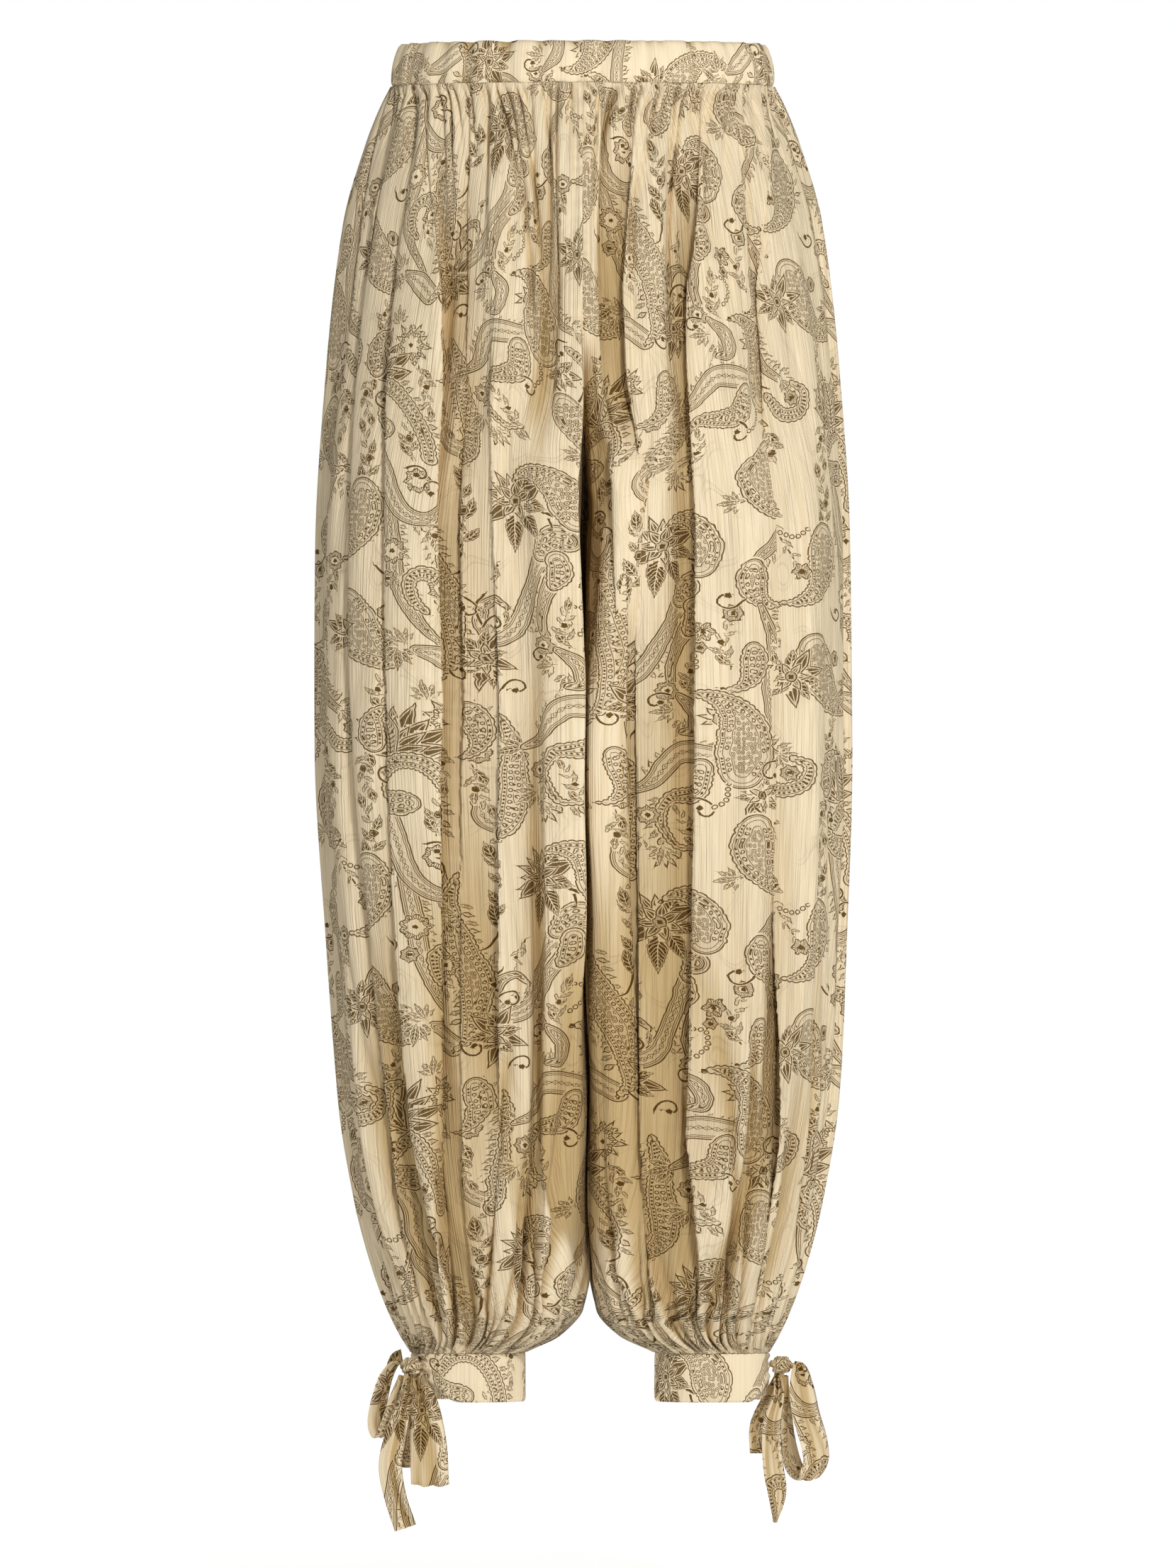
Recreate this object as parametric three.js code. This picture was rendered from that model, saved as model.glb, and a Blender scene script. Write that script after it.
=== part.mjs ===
// Harem pants in crinkled chiffon, filled out as they hang on a wearer: a gathered elastic
// waistband, four wide leg panels that blouse over narrow cuffs, and a tie bow at each ankle.
//
// Millimetres, +Z up. The origin is the centre of the waist opening, at mid height of the
// waistband. The front faces -Y, and left and right are the wearer's, so +X is the left.

import * as THREE from 'three';
import { mergeVertices } from 'three/addons/utils/BufferGeometryUtils.js';

// ------------------------------------------------------------------ driving dimensions

const SEAM_GAP = 0.3;

const WAISTBAND = { height: 32, topSide: 141, hemSide: 147, topDepth: 95, hemDepth: 98, wall: 3 };
const WAISTBAND_PUCKERS = { count: 48, depth: 1.2, columnsEach: 3 };

const PANEL_WALL = 2;
const PANEL_COLUMNS = 56;
const GATHERS_PER_PANEL = 14;
const FOLD_LIMIT = 24;          // no fold sinks deeper than this under its crests
const FOLD_FADE = 26;           // folds die out over this distance from a seam

const CUFF = { height: 37, centre: 93, halfWidth: 43.8, halfDepth: 42, wall: 2.4, columns: 48 };
const CUFF_ROUND = 0.8;         // how much the cuff swells between its edges
const ANKLE_SWING = 5.5;        // both ankles hang this far towards the left

const CUFF_PULL = { rise: 15, reach: 34 };     // the tie draws the lower edge of the cuff up

const TIE = { wall: 1.6, camber: 1.2, columns: 3, stepLength: 8.5, knotGap: 0.9 };
const KNOT = { halfWidth: 9, halfDepth: 8, halfHeight: 9, creases: 4, creaseDepth: 0.05 };

// A body section is nearly an ellipse, and a leg section is a little squarer.
const BODY_POWER = 2.15;
const LEG_POWER = 2.4;

const BAND_BOTTOM = -WAISTBAND.height / 2;
const CUFF_TOP = -983;
const CUFF_BOTTOM = CUFF_TOP - CUFF.height;
const PANEL_TOP = BAND_BOTTOM - SEAM_GAP;
const PANEL_BOTTOM = CUFF_TOP + SEAM_GAP;

// Rows of numbers under named columns, as a list of objects.
function table(columns, rows) {
  return rows.map((row) => Object.fromEntries(columns.map((column, i) => [column, row[i]])));
}

// Sections of the leg panels, from the waist seam to the cuff seam. `side`, `front` and `back`
// are how far the crests of the cloth reach from the centre, and `inner` is where the inner edge
// of a leg lies. `legs` goes from 0, one body, to 1, two separate legs. `crowd` is how much the
// cloth that goes round the inside of the leg below is crowded towards the centre seam. `swing`
// is how far the section hangs to the left, `folds` scales the large folds and `gathers` is the
// depth of the small ones. `square` is the power of the inner half of the leg's section, which is
// squarer where the two legs press against each other.
const SECTIONS = table(
  ['z', 'side', 'front', 'back', 'inner', 'legs', 'crowd', 'swing', 'folds', 'gathers', 'square'],
  [
    [   PANEL_TOP,   147,  98,  98,  0.2,    0,    0,           0,  0.1, 3.6,   5],
    [         -32,   155, 104, 106,  0.2,    0, 0.15,           0,  0.3,   4,   5],
    [         -60,   166, 112, 116,  0.2,    0,  0.3,           0,  0.5, 3.2,   5],
    [        -120,   183, 121, 132,  0.2,    0,  0.5,           0,  0.8, 1.6,   5],
    [        -230,   196, 128, 142,  0.2, 0.08,  0.6,           0,    1, 0.4,   5],
    [        -370, 204.5, 131, 141,  0.2,  0.8,  0.3,           0,    1,   0, 4.2],
    [        -520, 205.5, 133, 138,  0.2,    1,    0,           0,    1,   0,   5],
    [        -670,   199, 131, 134,  0.2,    1,    0,           0,    1,   0,   5],
    [        -790, 191.5, 125, 127,  0.2,    1,    0,         1.7,    1,   0, 4.6],
    [        -868,   179, 117, 117,  0.2,    1,    0,         3.2,  0.9, 0.8, 3.6],
    [        -918,   166, 104, 104,  0.6,    1,    0,         4.2,  0.7,   2, 2.8],
    [        -950, 154.5,  88,  88,    5,    1,    0,         4.8, 0.45,   3, 2.4],
    [        -970,   145,  66,  66,   22,    1,    0,         5.2,  0.2, 3.4, 2.4],
    [PANEL_BOTTOM, 137.3,  43,  43, 48.2,    1,    0, ANKLE_SWING,    0,   3, 2.4],
  ],
);

// The large folds of each panel, from the side seam to the centre. `waist` to `ankle` say where
// the bottom of the fold lies at each level, as a share of the panel's width seen from straight
// ahead, 0 at the inner edge and 1 at the side. `depth` is how far it sinks, `sideRun` and
// `centreRun` are how far it takes to rise again towards the side seam and towards the centre.
const FOLD_LEVELS = { waist: -16, hip: -170, knee: -490, shin: -815, ankle: -925 };

const FOLD_COLUMNS = ['waist', 'hip', 'knee', 'shin', 'ankle', 'depth', 'sideRun', 'centreRun'];

const FOLDS = {
  front_left_leg: table(FOLD_COLUMNS, [
    [0.97, 0.83, 0.79, 0.88, 0.91,  8, 20, 12],
    [0.86, 0.75, 0.71,  0.8, 0.83, 10, 12, 22],
    [0.69, 0.56, 0.54, 0.52, 0.65,  6, 16, 16],
    [0.57, 0.46, 0.39,  0.4, 0.46, 21, 13, 20],
    [0.43, 0.37, 0.33, 0.32, 0.37,  6, 12, 18],
    [0.23, 0.18,  0.2, 0.21, 0.26, 15, 11, 18],
    [0.05, 0.04, 0.07, 0.12, 0.18, 12, 12, 14],
  ]),
  front_right_leg: table(FOLD_COLUMNS, [
    [0.95, 0.93, 0.91, 0.88,  0.9, 10, 16, 12],
    [0.86, 0.79, 0.75, 0.78,  0.8, 12, 18, 11],
    [0.75, 0.61, 0.55, 0.62, 0.66, 18, 12, 15],
    [0.61,  0.5, 0.45, 0.52, 0.57,  9, 14, 11],
    [0.53, 0.43, 0.35, 0.41,  0.5, 12, 18, 11],
    [0.37, 0.27, 0.22, 0.26, 0.32,  7, 14, 20],
    [ 0.2, 0.12,  0.1, 0.14,  0.2, 10, 14, 14],
  ]),
  back_left_leg: table(FOLD_COLUMNS, [
    [0.93, 0.92, 0.89,  0.9, 0.92,  9, 14, 14],
    [0.82, 0.78, 0.74, 0.77,  0.8, 13, 12, 20],
    [0.68,  0.6, 0.58, 0.62, 0.68,  8, 17, 12],
    [0.55, 0.48, 0.44,  0.5, 0.56, 17, 12, 19],
    [0.41, 0.33, 0.31, 0.34, 0.42,  7, 14, 16],
    [0.26,  0.2, 0.18, 0.22, 0.28, 13, 18, 12],
    [ 0.1, 0.06, 0.07,  0.1, 0.15,  9, 12, 14],
  ]),
  back_right_leg: table(FOLD_COLUMNS, [
    [0.95,  0.9, 0.87, 0.87,  0.9, 11, 13, 16],
    [0.84, 0.75,  0.7, 0.74, 0.79,  8, 16, 12],
    [ 0.7, 0.63, 0.56, 0.61, 0.67, 16, 19, 12],
    [0.53, 0.46, 0.42, 0.46, 0.54,  9, 12, 17],
    [0.39, 0.32, 0.28, 0.33,  0.4, 14, 12, 18],
    [0.23, 0.18, 0.15, 0.19, 0.26,  8, 14, 14],
    [0.08, 0.05, 0.05, 0.08, 0.13, 11, 14, 12],
  ]),
};

// The ties. `angle` is where the knot sits on its cuff, in degrees from the outer side towards
// the front. Each strip runs through its stations, measured from the middle of the knot. `width`
// is that of the folded strip, and `turn` is the way its width points, in degrees from +X to +Y.
const STATION_COLUMNS = ['x', 'y', 'z', 'width', 'turn'];

const BOWS = {
  left: {
    leftward: 1,
    angle: 6,
    strips: {
      outer_loop: table(STATION_COLUMNS, [
        [   8,  -3,   1,  6,  90],
        [  14,  -6,  -2, 10,  72],
        [  16,  -9, -18, 15,  58],
        [  19, -10, -37, 16,  52],
        [  25,  -8, -58, 16,  54],
        [26.5,  -5, -74, 16,  66],
        [  19,  -1, -86, 16,  84],
        [  10,   3, -78, 16, 102],
        [   5,   6, -55, 15, 118],
        [   4,   6, -30, 12, 122],
        [   2,   4,  -9,  7, 110],
      ]),
      long_end: table(STATION_COLUMNS, [
        [  -2,  -4,   -8,  7,  0],
        [  -2,  -9,  -24,  9,  0],
        [  -7, -11,  -46, 14,  6],
        [  -6, -11,  -76, 16, 10],
        [  -3, -10,  -98, 14,  6],
        [-4.5, -10, -120,  3,  0],
      ]),
      short_end: table(STATION_COLUMNS, [
        [ -1,  7,  -3,  8, -30],
        [ -2, 20, -12,  9, -35],
        [ -9, 34, -28, 12, -25],
        [-17, 38, -48, 13, -10],
        [-17, 38, -69, 13,  -5],
      ]),
    },
  },
  right: {
    leftward: -1,
    angle: 38,
    strips: {
      outer_loop: table(STATION_COLUMNS, [
        [ -7,  4,   3,  6, 100],
        [-13,  8,   2, 10, 112],
        [-20, 10, -10, 15, 118],
        [-25,  9, -30, 16, 112],
        [-25,  5, -46, 16,  90],
        [-20,  0, -54, 16,  66],
        [-14, -4, -45, 15,  50],
        [-10, -5, -28, 12,  45],
        [ -6, -3,  -8,  6,  45],
      ]),
      inner_loop: table(STATION_COLUMNS, [
        [  5,  -3,  -8,  6, 0],
        [ 10, -10, -28, 14, 0],
        [ 13, -13, -58, 19, 0],
        [ 14,  -9, -84, 20, 0],
        [ 14,  -1, -90, 20, 0],
        [ 13,   5, -80, 19, 0],
        [  9,   6, -52, 15, 0],
        [1.5,   4, -12,  7, 0],
      ]),
      long_end: table(STATION_COLUMNS, [
        [  -2,  -6,   -6,  7, 0],
        [  -5, -17,  -26, 11, 0],
        [ -12, -19,  -52, 16, 0],
        [ -16, -17,  -76, 18, 0],
        [ -12, -14, -100, 17, 0],
        [-4.5, -12, -123, 17, 0],
      ]),
      short_end: table(STATION_COLUMNS, [
        [-2,  7,  -5,  7, 0],
        [-5, 13, -30,  9, 0],
        [-6, 13, -55, 12, 0],
        [-6, 13, -78, 12, 0],
      ]),
    },
  },
};

// ------------------------------------------------------------------ materials

const CHIFFON = new THREE.MeshStandardMaterial({ color: '#e2d3b4', roughness: 0.85, metalness: 0 });
const BAND_CHIFFON = new THREE.MeshStandardMaterial({ color: '#dccba8', roughness: 0.85, metalness: 0 });
const TIE_CHIFFON = new THREE.MeshStandardMaterial({ color: '#d3c19b', roughness: 0.85, metalness: 0 });

// ------------------------------------------------------------------ general geometry

const signedPower = (value, power) => Math.sign(value) * Math.abs(value) ** power;

// Points of a superellipse, from its +X end round towards +Y through the angle `sweep`. Its -X
// half may have a power of its own.
function oval(centre, halfWidth, halfDepth, power, sweep, steps, farPower = power) {
  return Array.from({ length: steps + 1 }, (_, i) => {
    const angle = (sweep * i) / steps;
    const bend = 2 / (Math.cos(angle) < 0 ? farPower : power);
    return new THREE.Vector2(
      centre + halfWidth * signedPower(Math.cos(angle), bend),
      halfDepth * signedPower(Math.sin(angle), bend),
    );
  });
}

// How far along the polyline each of its points lies.
function distances(points) {
  const along = [0];
  for (let i = 1; i < points.length; i += 1) {
    along.push(along[i - 1] + points[i].distanceTo(points[i - 1]));
  }
  return along;
}

// The same polyline with steps + 1 points at even distances.
function evenly(points, steps) {
  const along = distances(points);
  const total = along[along.length - 1];
  let span = 0;
  return Array.from({ length: steps + 1 }, (_, i) => {
    const target = (total * i) / steps;
    while (span < points.length - 2 && along[span + 1] < target) span += 1;
    const part = (target - along[span]) / (along[span + 1] - along[span]);
    return points[span].clone().lerp(points[span + 1], Math.min(part, 1));
  });
}

// Unit normals of a polyline, to the right of its direction of travel.
function outwardNormals(points) {
  return points.map((_, i) => {
    const before = points[Math.max(i - 1, 0)];
    const after = points[Math.min(i + 1, points.length - 1)];
    const travel = after.clone().sub(before).normalize();
    return new THREE.Vector2(travel.y, -travel.x);
  });
}

// A closed solid between an outer and an inner grid of points, grid[row][column]. Where `ring`
// is true the last column joins the first.
function wall(outer, inner, ring) {
  const rows = outer.length;
  const columns = outer[0].length;
  const lastRow = rows - 1;
  const lastColumn = columns - 1;
  const spans = ring ? columns : lastColumn;
  const points = [...outer.flat(), ...inner.flat()];
  const at = (layer, row, column) => (layer * rows + row) * columns + (column % columns);
  const faces = [];
  const quad = (a, b, c, d) => faces.push(a, b, c, a, c, d);
  for (let row = 0; row < lastRow; row += 1) {
    for (let i = 0; i < spans; i += 1) {
      quad(at(0, row, i), at(0, row + 1, i), at(0, row + 1, i + 1), at(0, row, i + 1));
      quad(at(1, row, i), at(1, row, i + 1), at(1, row + 1, i + 1), at(1, row + 1, i));
    }
  }
  for (let i = 0; i < spans; i += 1) {
    quad(at(0, 0, i), at(0, 0, i + 1), at(1, 0, i + 1), at(1, 0, i));
    quad(at(0, lastRow, i), at(1, lastRow, i), at(1, lastRow, i + 1), at(0, lastRow, i + 1));
  }
  for (let row = 0; row < lastRow && !ring; row += 1) {
    quad(at(0, row, 0), at(1, row, 0), at(1, row + 1, 0), at(0, row + 1, 0));
    quad(
      at(0, row, lastColumn),
      at(0, row + 1, lastColumn),
      at(1, row + 1, lastColumn),
      at(1, row, lastColumn),
    );
  }
  return solid(points, faces);
}

// A geometry whose faces point out, whichever way round they were listed.
function solid(points, faces) {
  let volume = 0;
  for (let i = 0; i < faces.length; i += 3) {
    const [a, b, c] = [points[faces[i]], points[faces[i + 1]], points[faces[i + 2]]];
    volume += a.dot(b.clone().cross(c));
  }
  const geometry = new THREE.BufferGeometry();
  geometry.setAttribute('position', new THREE.Float32BufferAttribute(points.flatMap((p) => p.toArray()), 3));
  geometry.setIndex(volume < 0 ? faces.reverse() : faces);
  geometry.computeVertexNormals();
  return geometry;
}

function mesh(name, geometry, material) {
  const piece = new THREE.Mesh(geometry, material);
  piece.name = name;
  return piece;
}

// ------------------------------------------------------------------ leg panels

const LINE_STEPS = 480;

// The crest line of one panel at one section, in its own quarter, from the side seam to the
// centre seam and, further down, on to the inside of the leg. Between the two it keeps its depth.
function crestLine(section, depth) {
  const legCentre = (section.side + section.inner) / 2;
  const legHalf = (section.side - section.inner) / 2;
  const bodyOval = oval(0, section.side, depth, BODY_POWER, Math.PI / 2, LINE_STEPS);
  const legOval = oval(legCentre, legHalf, depth, LEG_POWER, Math.PI, LINE_STEPS, section.square);
  const body = evenly(bodyOval, LINE_STEPS);
  const leg = evenly(legOval, LINE_STEPS);
  const blend = body.map((point, i) => point.clone().lerp(leg[i], section.legs));
  const reach = Math.max(...blend.map((point) => point.y));
  blend.forEach((point) => point.setY((point.y * depth) / reach));
  return evenly(blend, LINE_STEPS);
}

// A value of a list between its items, with `part` running from 0 to 1 along it.
function pick(list, part, mix) {
  const place = part * (list.length - 1);
  const first = Math.min(Math.floor(place), list.length - 2);
  return mix(list[first], list[first + 1], place - first);
}

const mixPoints = (a, b, part) => a.clone().lerp(b, part);

// Where a fold lies across the panel at a height, between the levels of its row.
function foldAcross(fold, z) {
  const levels = Object.entries(FOLD_LEVELS);
  for (let i = 1; i < levels.length; i += 1) {
    const [upper, upperZ] = levels[i - 1];
    const [lower, lowerZ] = levels[i];
    if (z > lowerZ) {
      return THREE.MathUtils.mapLinear(Math.min(z, upperZ), upperZ, lowerZ, fold[upper], fold[lower]);
    }
  }
  return fold.ankle;
}

// How far the bottom of each fold lies along the crest line from the side seam.
function foldBottoms(line, section, folds) {
  const along = distances(line);
  return folds.map((fold) => {
    const x = THREE.MathUtils.lerp(section.inner, section.side, foldAcross(fold, section.z));
    return along[line.findIndex((point) => point.x <= x)];
  });
}

// How far the folds sink the cloth under its crest line at a distance from the side seam.
function foldSink(folds, bottoms, distance, total) {
  const depth = folds.reduce((sum, fold, i) => {
    const away = distance - bottoms[i];
    const run = away < 0 ? fold.sideRun : fold.centreRun;
    return sum + fold.depth * Math.exp(-((away / run) ** 2));
  }, 0);
  const fade = THREE.MathUtils.smoothstep(Math.min(distance, total - distance), 0, FOLD_FADE);
  return fade * Math.min(depth, FOLD_LIMIT);
}

// One panel: `leftward` is 1 on the left and -1 on the right, `forward` is 1 in front.
function legPanel(name, leftward, forward) {
  const clear = SEAM_GAP / 2;
  const outer = [];
  const inner = [];
  for (const section of SECTIONS) {
    const line = crestLine(section, forward > 0 ? section.front : section.back);
    const normals = outwardNormals(line);
    const bottoms = foldBottoms(line, section, FOLDS[name]);
    const total = distances(line).pop();
    const row = (thickness) => Array.from({ length: PANEL_COLUMNS + 1 }, (_, column) => {
      const share = column / PANEL_COLUMNS;
      const part = share + section.crowd * share * (1 - share);
      const gather = (section.gathers * (1 - Math.cos(2 * Math.PI * GATHERS_PER_PANEL * share))) / 2;
      const sink = section.folds * foldSink(FOLDS[name], bottoms, part * total, total);
      const normal = pick(normals, part, mixPoints);
      const point = pick(line, part, mixPoints).addScaledVector(normal, -sink - gather - thickness);
      const x = leftward * Math.max(point.x, clear) + section.swing;
      return new THREE.Vector3(x, -forward * Math.max(point.y, clear), section.z);
    });
    outer.push(row(0));
    inner.push(row(PANEL_WALL));
  }
  return mesh(name, wall(outer, inner, false), CHIFFON);
}

// ------------------------------------------------------------------ waistband and cuffs

// One row of a ring: its oval moved in by inward(column) at each column.
function ringRow({ centre, halfWidth, halfDepth, power, z, columns }, inward) {
  const line = evenly(oval(centre, halfWidth, halfDepth, power, 2 * Math.PI, columns * 8), columns);
  const normals = outwardNormals([line[columns - 1], ...line.slice(0, columns), line[0]]).slice(1, -1);
  return normals.map((normal, i) => new THREE.Vector3(
    line[i].x - normal.x * inward(i),
    line[i].y - normal.y * inward(i),
    z,
  ));
}

// The elastic draws the outside of the band into soft puckers over a plain inside.
function waistband() {
  const columns = WAISTBAND_PUCKERS.count * WAISTBAND_PUCKERS.columnsEach;
  const half = WAISTBAND.height / 2;
  const pucker = (i) => {
    const turn = (2 * Math.PI * i) / WAISTBAND_PUCKERS.columnsEach;
    return (WAISTBAND_PUCKERS.depth * (1 - Math.cos(turn))) / 2;
  };
  const rows = [
    { z: half, halfWidth: WAISTBAND.topSide, halfDepth: WAISTBAND.topDepth },
    { z: -half, halfWidth: WAISTBAND.hemSide, halfDepth: WAISTBAND.hemDepth },
  ].map((row) => ({ centre: 0, power: BODY_POWER, columns, ...row }));
  const outer = rows.map((row) => ringRow(row, pucker));
  const inner = rows.map((row) => ringRow(row, () => WAISTBAND.wall));
  return mesh('waistband', wall(outer, inner, true), BAND_CHIFFON);
}

const cuffCentre = (leftward) => leftward * CUFF.centre + ANKLE_SWING;

// Where the knot of a bow touches its cuff, and which way the cuff faces there.
function knotContact({ leftward, angle }) {
  const turn = THREE.MathUtils.degToRad(angle);
  const across = Math.cos(turn) ** (2 / LEG_POWER);
  const ahead = Math.sin(turn) ** (2 / LEG_POWER);
  const facing = new THREE.Vector2(
    (leftward * across ** (LEG_POWER - 1)) / CUFF.halfWidth,
    -(ahead ** (LEG_POWER - 1)) / CUFF.halfDepth,
  );
  const point = new THREE.Vector2(
    cuffCentre(leftward) + leftward * CUFF.halfWidth * across,
    -CUFF.halfDepth * ahead,
  );
  return { point, facing: facing.normalize() };
}

// A plain band, swelling a little between its edges. Its lower edge rises towards the knot.
function cuff(name, bow) {
  const contact = knotContact(bow).point;
  const layer = (thickness) => [0, 0.5, 1].map((part) => {
    const swell = CUFF_ROUND * (1 - (2 * part - 1) ** 2);
    const row = ringRow({
      centre: cuffCentre(bow.leftward),
      halfWidth: CUFF.halfWidth - CUFF_ROUND + swell,
      halfDepth: CUFF.halfDepth - CUFF_ROUND + swell,
      power: LEG_POWER,
      columns: CUFF.columns,
    }, () => thickness);
    for (const point of row) {
      const away = Math.hypot(point.x - contact.x, point.y - contact.y);
      const rise = CUFF_PULL.rise * (1 - THREE.MathUtils.smoothstep(away, 0, CUFF_PULL.reach));
      point.z = THREE.MathUtils.lerp(CUFF_TOP, CUFF_BOTTOM + rise, part);
    }
    return row;
  });
  return mesh(name, wall(layer(0), layer(CUFF.wall), true), BAND_CHIFFON);
}

// ------------------------------------------------------------------ tie bows

// The middle of a knot that sits just clear of its cuff.
function knotMiddle(bow) {
  const { point, facing } = knotContact(bow);
  const reach = Math.hypot(KNOT.halfWidth * facing.x, KNOT.halfDepth * facing.y) + SEAM_GAP;
  const middle = point.clone().addScaledVector(facing, reach);
  return new THREE.Vector3(middle.x, middle.y, CUFF_TOP - KNOT.halfHeight - SEAM_GAP);
}

// A rounded knot, creased from top to bottom where the strip is wound round it.
function knot(name, middle) {
  const geometry = new THREE.SphereGeometry(1, 16, 10);
  geometry.deleteAttribute('normal');
  geometry.deleteAttribute('uv');
  const merged = mergeVertices(geometry);
  const points = merged.getAttribute('position');
  for (let i = 0; i < points.count; i += 1) {
    const turn = Math.atan2(points.getZ(i), points.getX(i));
    const radius = 1 - (KNOT.creaseDepth * (1 - Math.cos(KNOT.creases * turn))) / 2;
    points.setXYZ(i, points.getX(i) * radius, points.getY(i) * radius, points.getZ(i) * radius);
  }
  merged.scale(KNOT.halfWidth, KNOT.halfDepth, KNOT.halfHeight);
  merged.translate(middle.x, middle.y, middle.z);
  merged.computeVertexNormals();
  return mesh(name, merged, TIE_CHIFFON);
}

// A station at the end of a strip, moved along its own direction to stop just clear of the knot.
function besideKnot(station) {
  const point = new THREE.Vector3(station.x, station.y, station.z);
  const share = Math.hypot(point.x / KNOT.halfWidth, point.y / KNOT.halfDepth, point.z / KNOT.halfHeight);
  point.multiplyScalar(1 / share + TIE.knotGap / point.length());
  return { ...station, x: point.x, y: point.y, z: point.z };
}

function stationValue(stations, key, u) {
  return pick(stations.map((station) => station[key]), u, THREE.MathUtils.lerp);
}

// A strip of folded cloth, cambered across its width, through the stations from the knot. The
// far end of a loop goes back into the knot.
function strip(name, middle, route) {
  const stations = route.map((station, i) => {
    const atKnot = i === 0 || (i === route.length - 1 && name.endsWith('loop'));
    return atKnot ? besideKnot(station) : station;
  });
  const curve = new THREE.CatmullRomCurve3(stations.map(({ x, y, z }) => new THREE.Vector3(x, y, z)));
  const steps = Math.round(curve.getLength() / TIE.stepLength);
  const layers = [[], []];
  for (let step = 0; step <= steps; step += 1) {
    const u = step / steps;
    const travel = curve.getTangent(u);
    const turn = THREE.MathUtils.degToRad(stationValue(stations, 'turn', u));
    const across = new THREE.Vector3(Math.cos(turn), Math.sin(turn), 0);
    across.addScaledVector(travel, -travel.dot(across)).normalize();
    const facing = new THREE.Vector3().crossVectors(travel, across);
    const centre = curve.getPoint(u).add(middle);
    layers.forEach((layer, side) => layer.push(Array.from({ length: TIE.columns + 1 }, (_, column) => {
      const part = (2 * column) / TIE.columns - 1;
      const raise = TIE.camber * (1 - part ** 2) - side * TIE.wall;
      const sidewards = (part * stationValue(stations, 'width', u)) / 2;
      return centre.clone().addScaledVector(across, sidewards).addScaledVector(facing, raise);
    })));
  }
  return mesh(name, wall(layers[0], layers[1], false), TIE_CHIFFON);
}

function bow(side) {
  const middle = knotMiddle(BOWS[side]);
  const strips = Object.entries(BOWS[side].strips);
  return [
    knot(`tie_${side}_knot`, middle),
    ...strips.map(([name, route]) => strip(`tie_${side}_${name}`, middle, route)),
  ];
}

// ------------------------------------------------------------------ the garment

const pants = new THREE.Group();
pants.name = 'harem_pants';
pants.add(
  waistband(),
  legPanel('front_left_leg', 1, 1),
  legPanel('front_right_leg', -1, 1),
  legPanel('back_left_leg', 1, -1),
  legPanel('back_right_leg', -1, -1),
  cuff('cuff_left', BOWS.left),
  cuff('cuff_right', BOWS.right),
  ...bow('left'),
  ...bow('right'),
);

export default pants;
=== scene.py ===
# Harem pants in crinkled, printed chiffon, filled out as they hang on a wearer.
# Tables and sizes are in millimetres, and the meshes are in metres.

import math

import bpy
import numpy as np
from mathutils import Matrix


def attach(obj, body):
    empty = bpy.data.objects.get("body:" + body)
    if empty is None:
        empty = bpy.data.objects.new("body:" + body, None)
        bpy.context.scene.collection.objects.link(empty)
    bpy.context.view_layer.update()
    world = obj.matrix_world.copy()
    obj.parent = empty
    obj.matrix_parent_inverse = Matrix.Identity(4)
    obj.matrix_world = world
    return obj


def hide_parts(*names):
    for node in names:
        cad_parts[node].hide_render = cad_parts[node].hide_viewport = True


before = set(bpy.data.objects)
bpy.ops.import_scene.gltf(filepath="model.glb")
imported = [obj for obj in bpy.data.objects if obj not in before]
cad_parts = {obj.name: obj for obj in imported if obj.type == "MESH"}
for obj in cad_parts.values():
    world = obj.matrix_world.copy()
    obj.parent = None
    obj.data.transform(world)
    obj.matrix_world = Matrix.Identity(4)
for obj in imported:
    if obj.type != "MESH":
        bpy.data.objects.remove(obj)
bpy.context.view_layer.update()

MM = 0.001

# ---------------------------------------------------------------- camera, light and floor

VIEW_CENTRE = (0.00405, 0.0, -0.5488)
VIEW_HEIGHT = 1.198
VIEW_DISTANCE = 14.0
VIEW_REACH = 50.0
SENSOR_HEIGHT = 24.0

# Where each light is, what it points at, how wide it is and how strong, in metres and watts.
LIGHTS = {
    "key": {"place": (0.9, -3.4, 1.3), "towards": (0, 0, -0.35), "size": 0.6, "power": 95},
    "side": {"place": (3.0, -0.8, 0.3), "towards": (0, 0, -0.5), "size": 1.2, "power": 10},
    "back": {"place": (-1.2, 3.6, 1.3), "towards": (0, 0, -0.4), "size": 1.2, "power": 80},
}
WORLD_LIGHT = {"colour": (1, 0.97, 0.91, 1), "strength": 0.2}
FLOOR = {"z": -1.165, "side": 8.0, "ahead": -9.0, "behind": 3.2}
FLOOR_LOOK = {"grey": 0.32, "roughness": 0.9, "glow": 0.78}
WHITE = (1, 1, 1, 1)


def add_camera():
    data = bpy.data.cameras.new("camera")
    data.sensor_fit = "VERTICAL"
    data.sensor_height = SENSOR_HEIGHT
    data.lens = SENSOR_HEIGHT * VIEW_DISTANCE / VIEW_HEIGHT
    data.clip_end = VIEW_REACH
    camera = bpy.data.objects.new("camera", data)
    camera.location = (VIEW_CENTRE[0], VIEW_CENTRE[1] - VIEW_DISTANCE, VIEW_CENTRE[2])
    camera.rotation_euler = (math.radians(90), 0, 0)
    bpy.context.collection.objects.link(camera)
    bpy.context.scene.camera = camera


def add_area_light(name, place, towards, size, power):
    data = bpy.data.lights.new(name, "AREA")
    data.shape = "DISK"
    data.size = size
    data.energy = power
    light = bpy.data.objects.new(name, data)
    light.location = place
    aim = np.subtract(towards, place)
    pitch = math.atan2(math.hypot(aim[0], aim[1]), -aim[2])
    light.rotation_euler = (pitch, 0, math.atan2(-aim[0], aim[1]))
    bpy.context.collection.objects.link(light)


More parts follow.
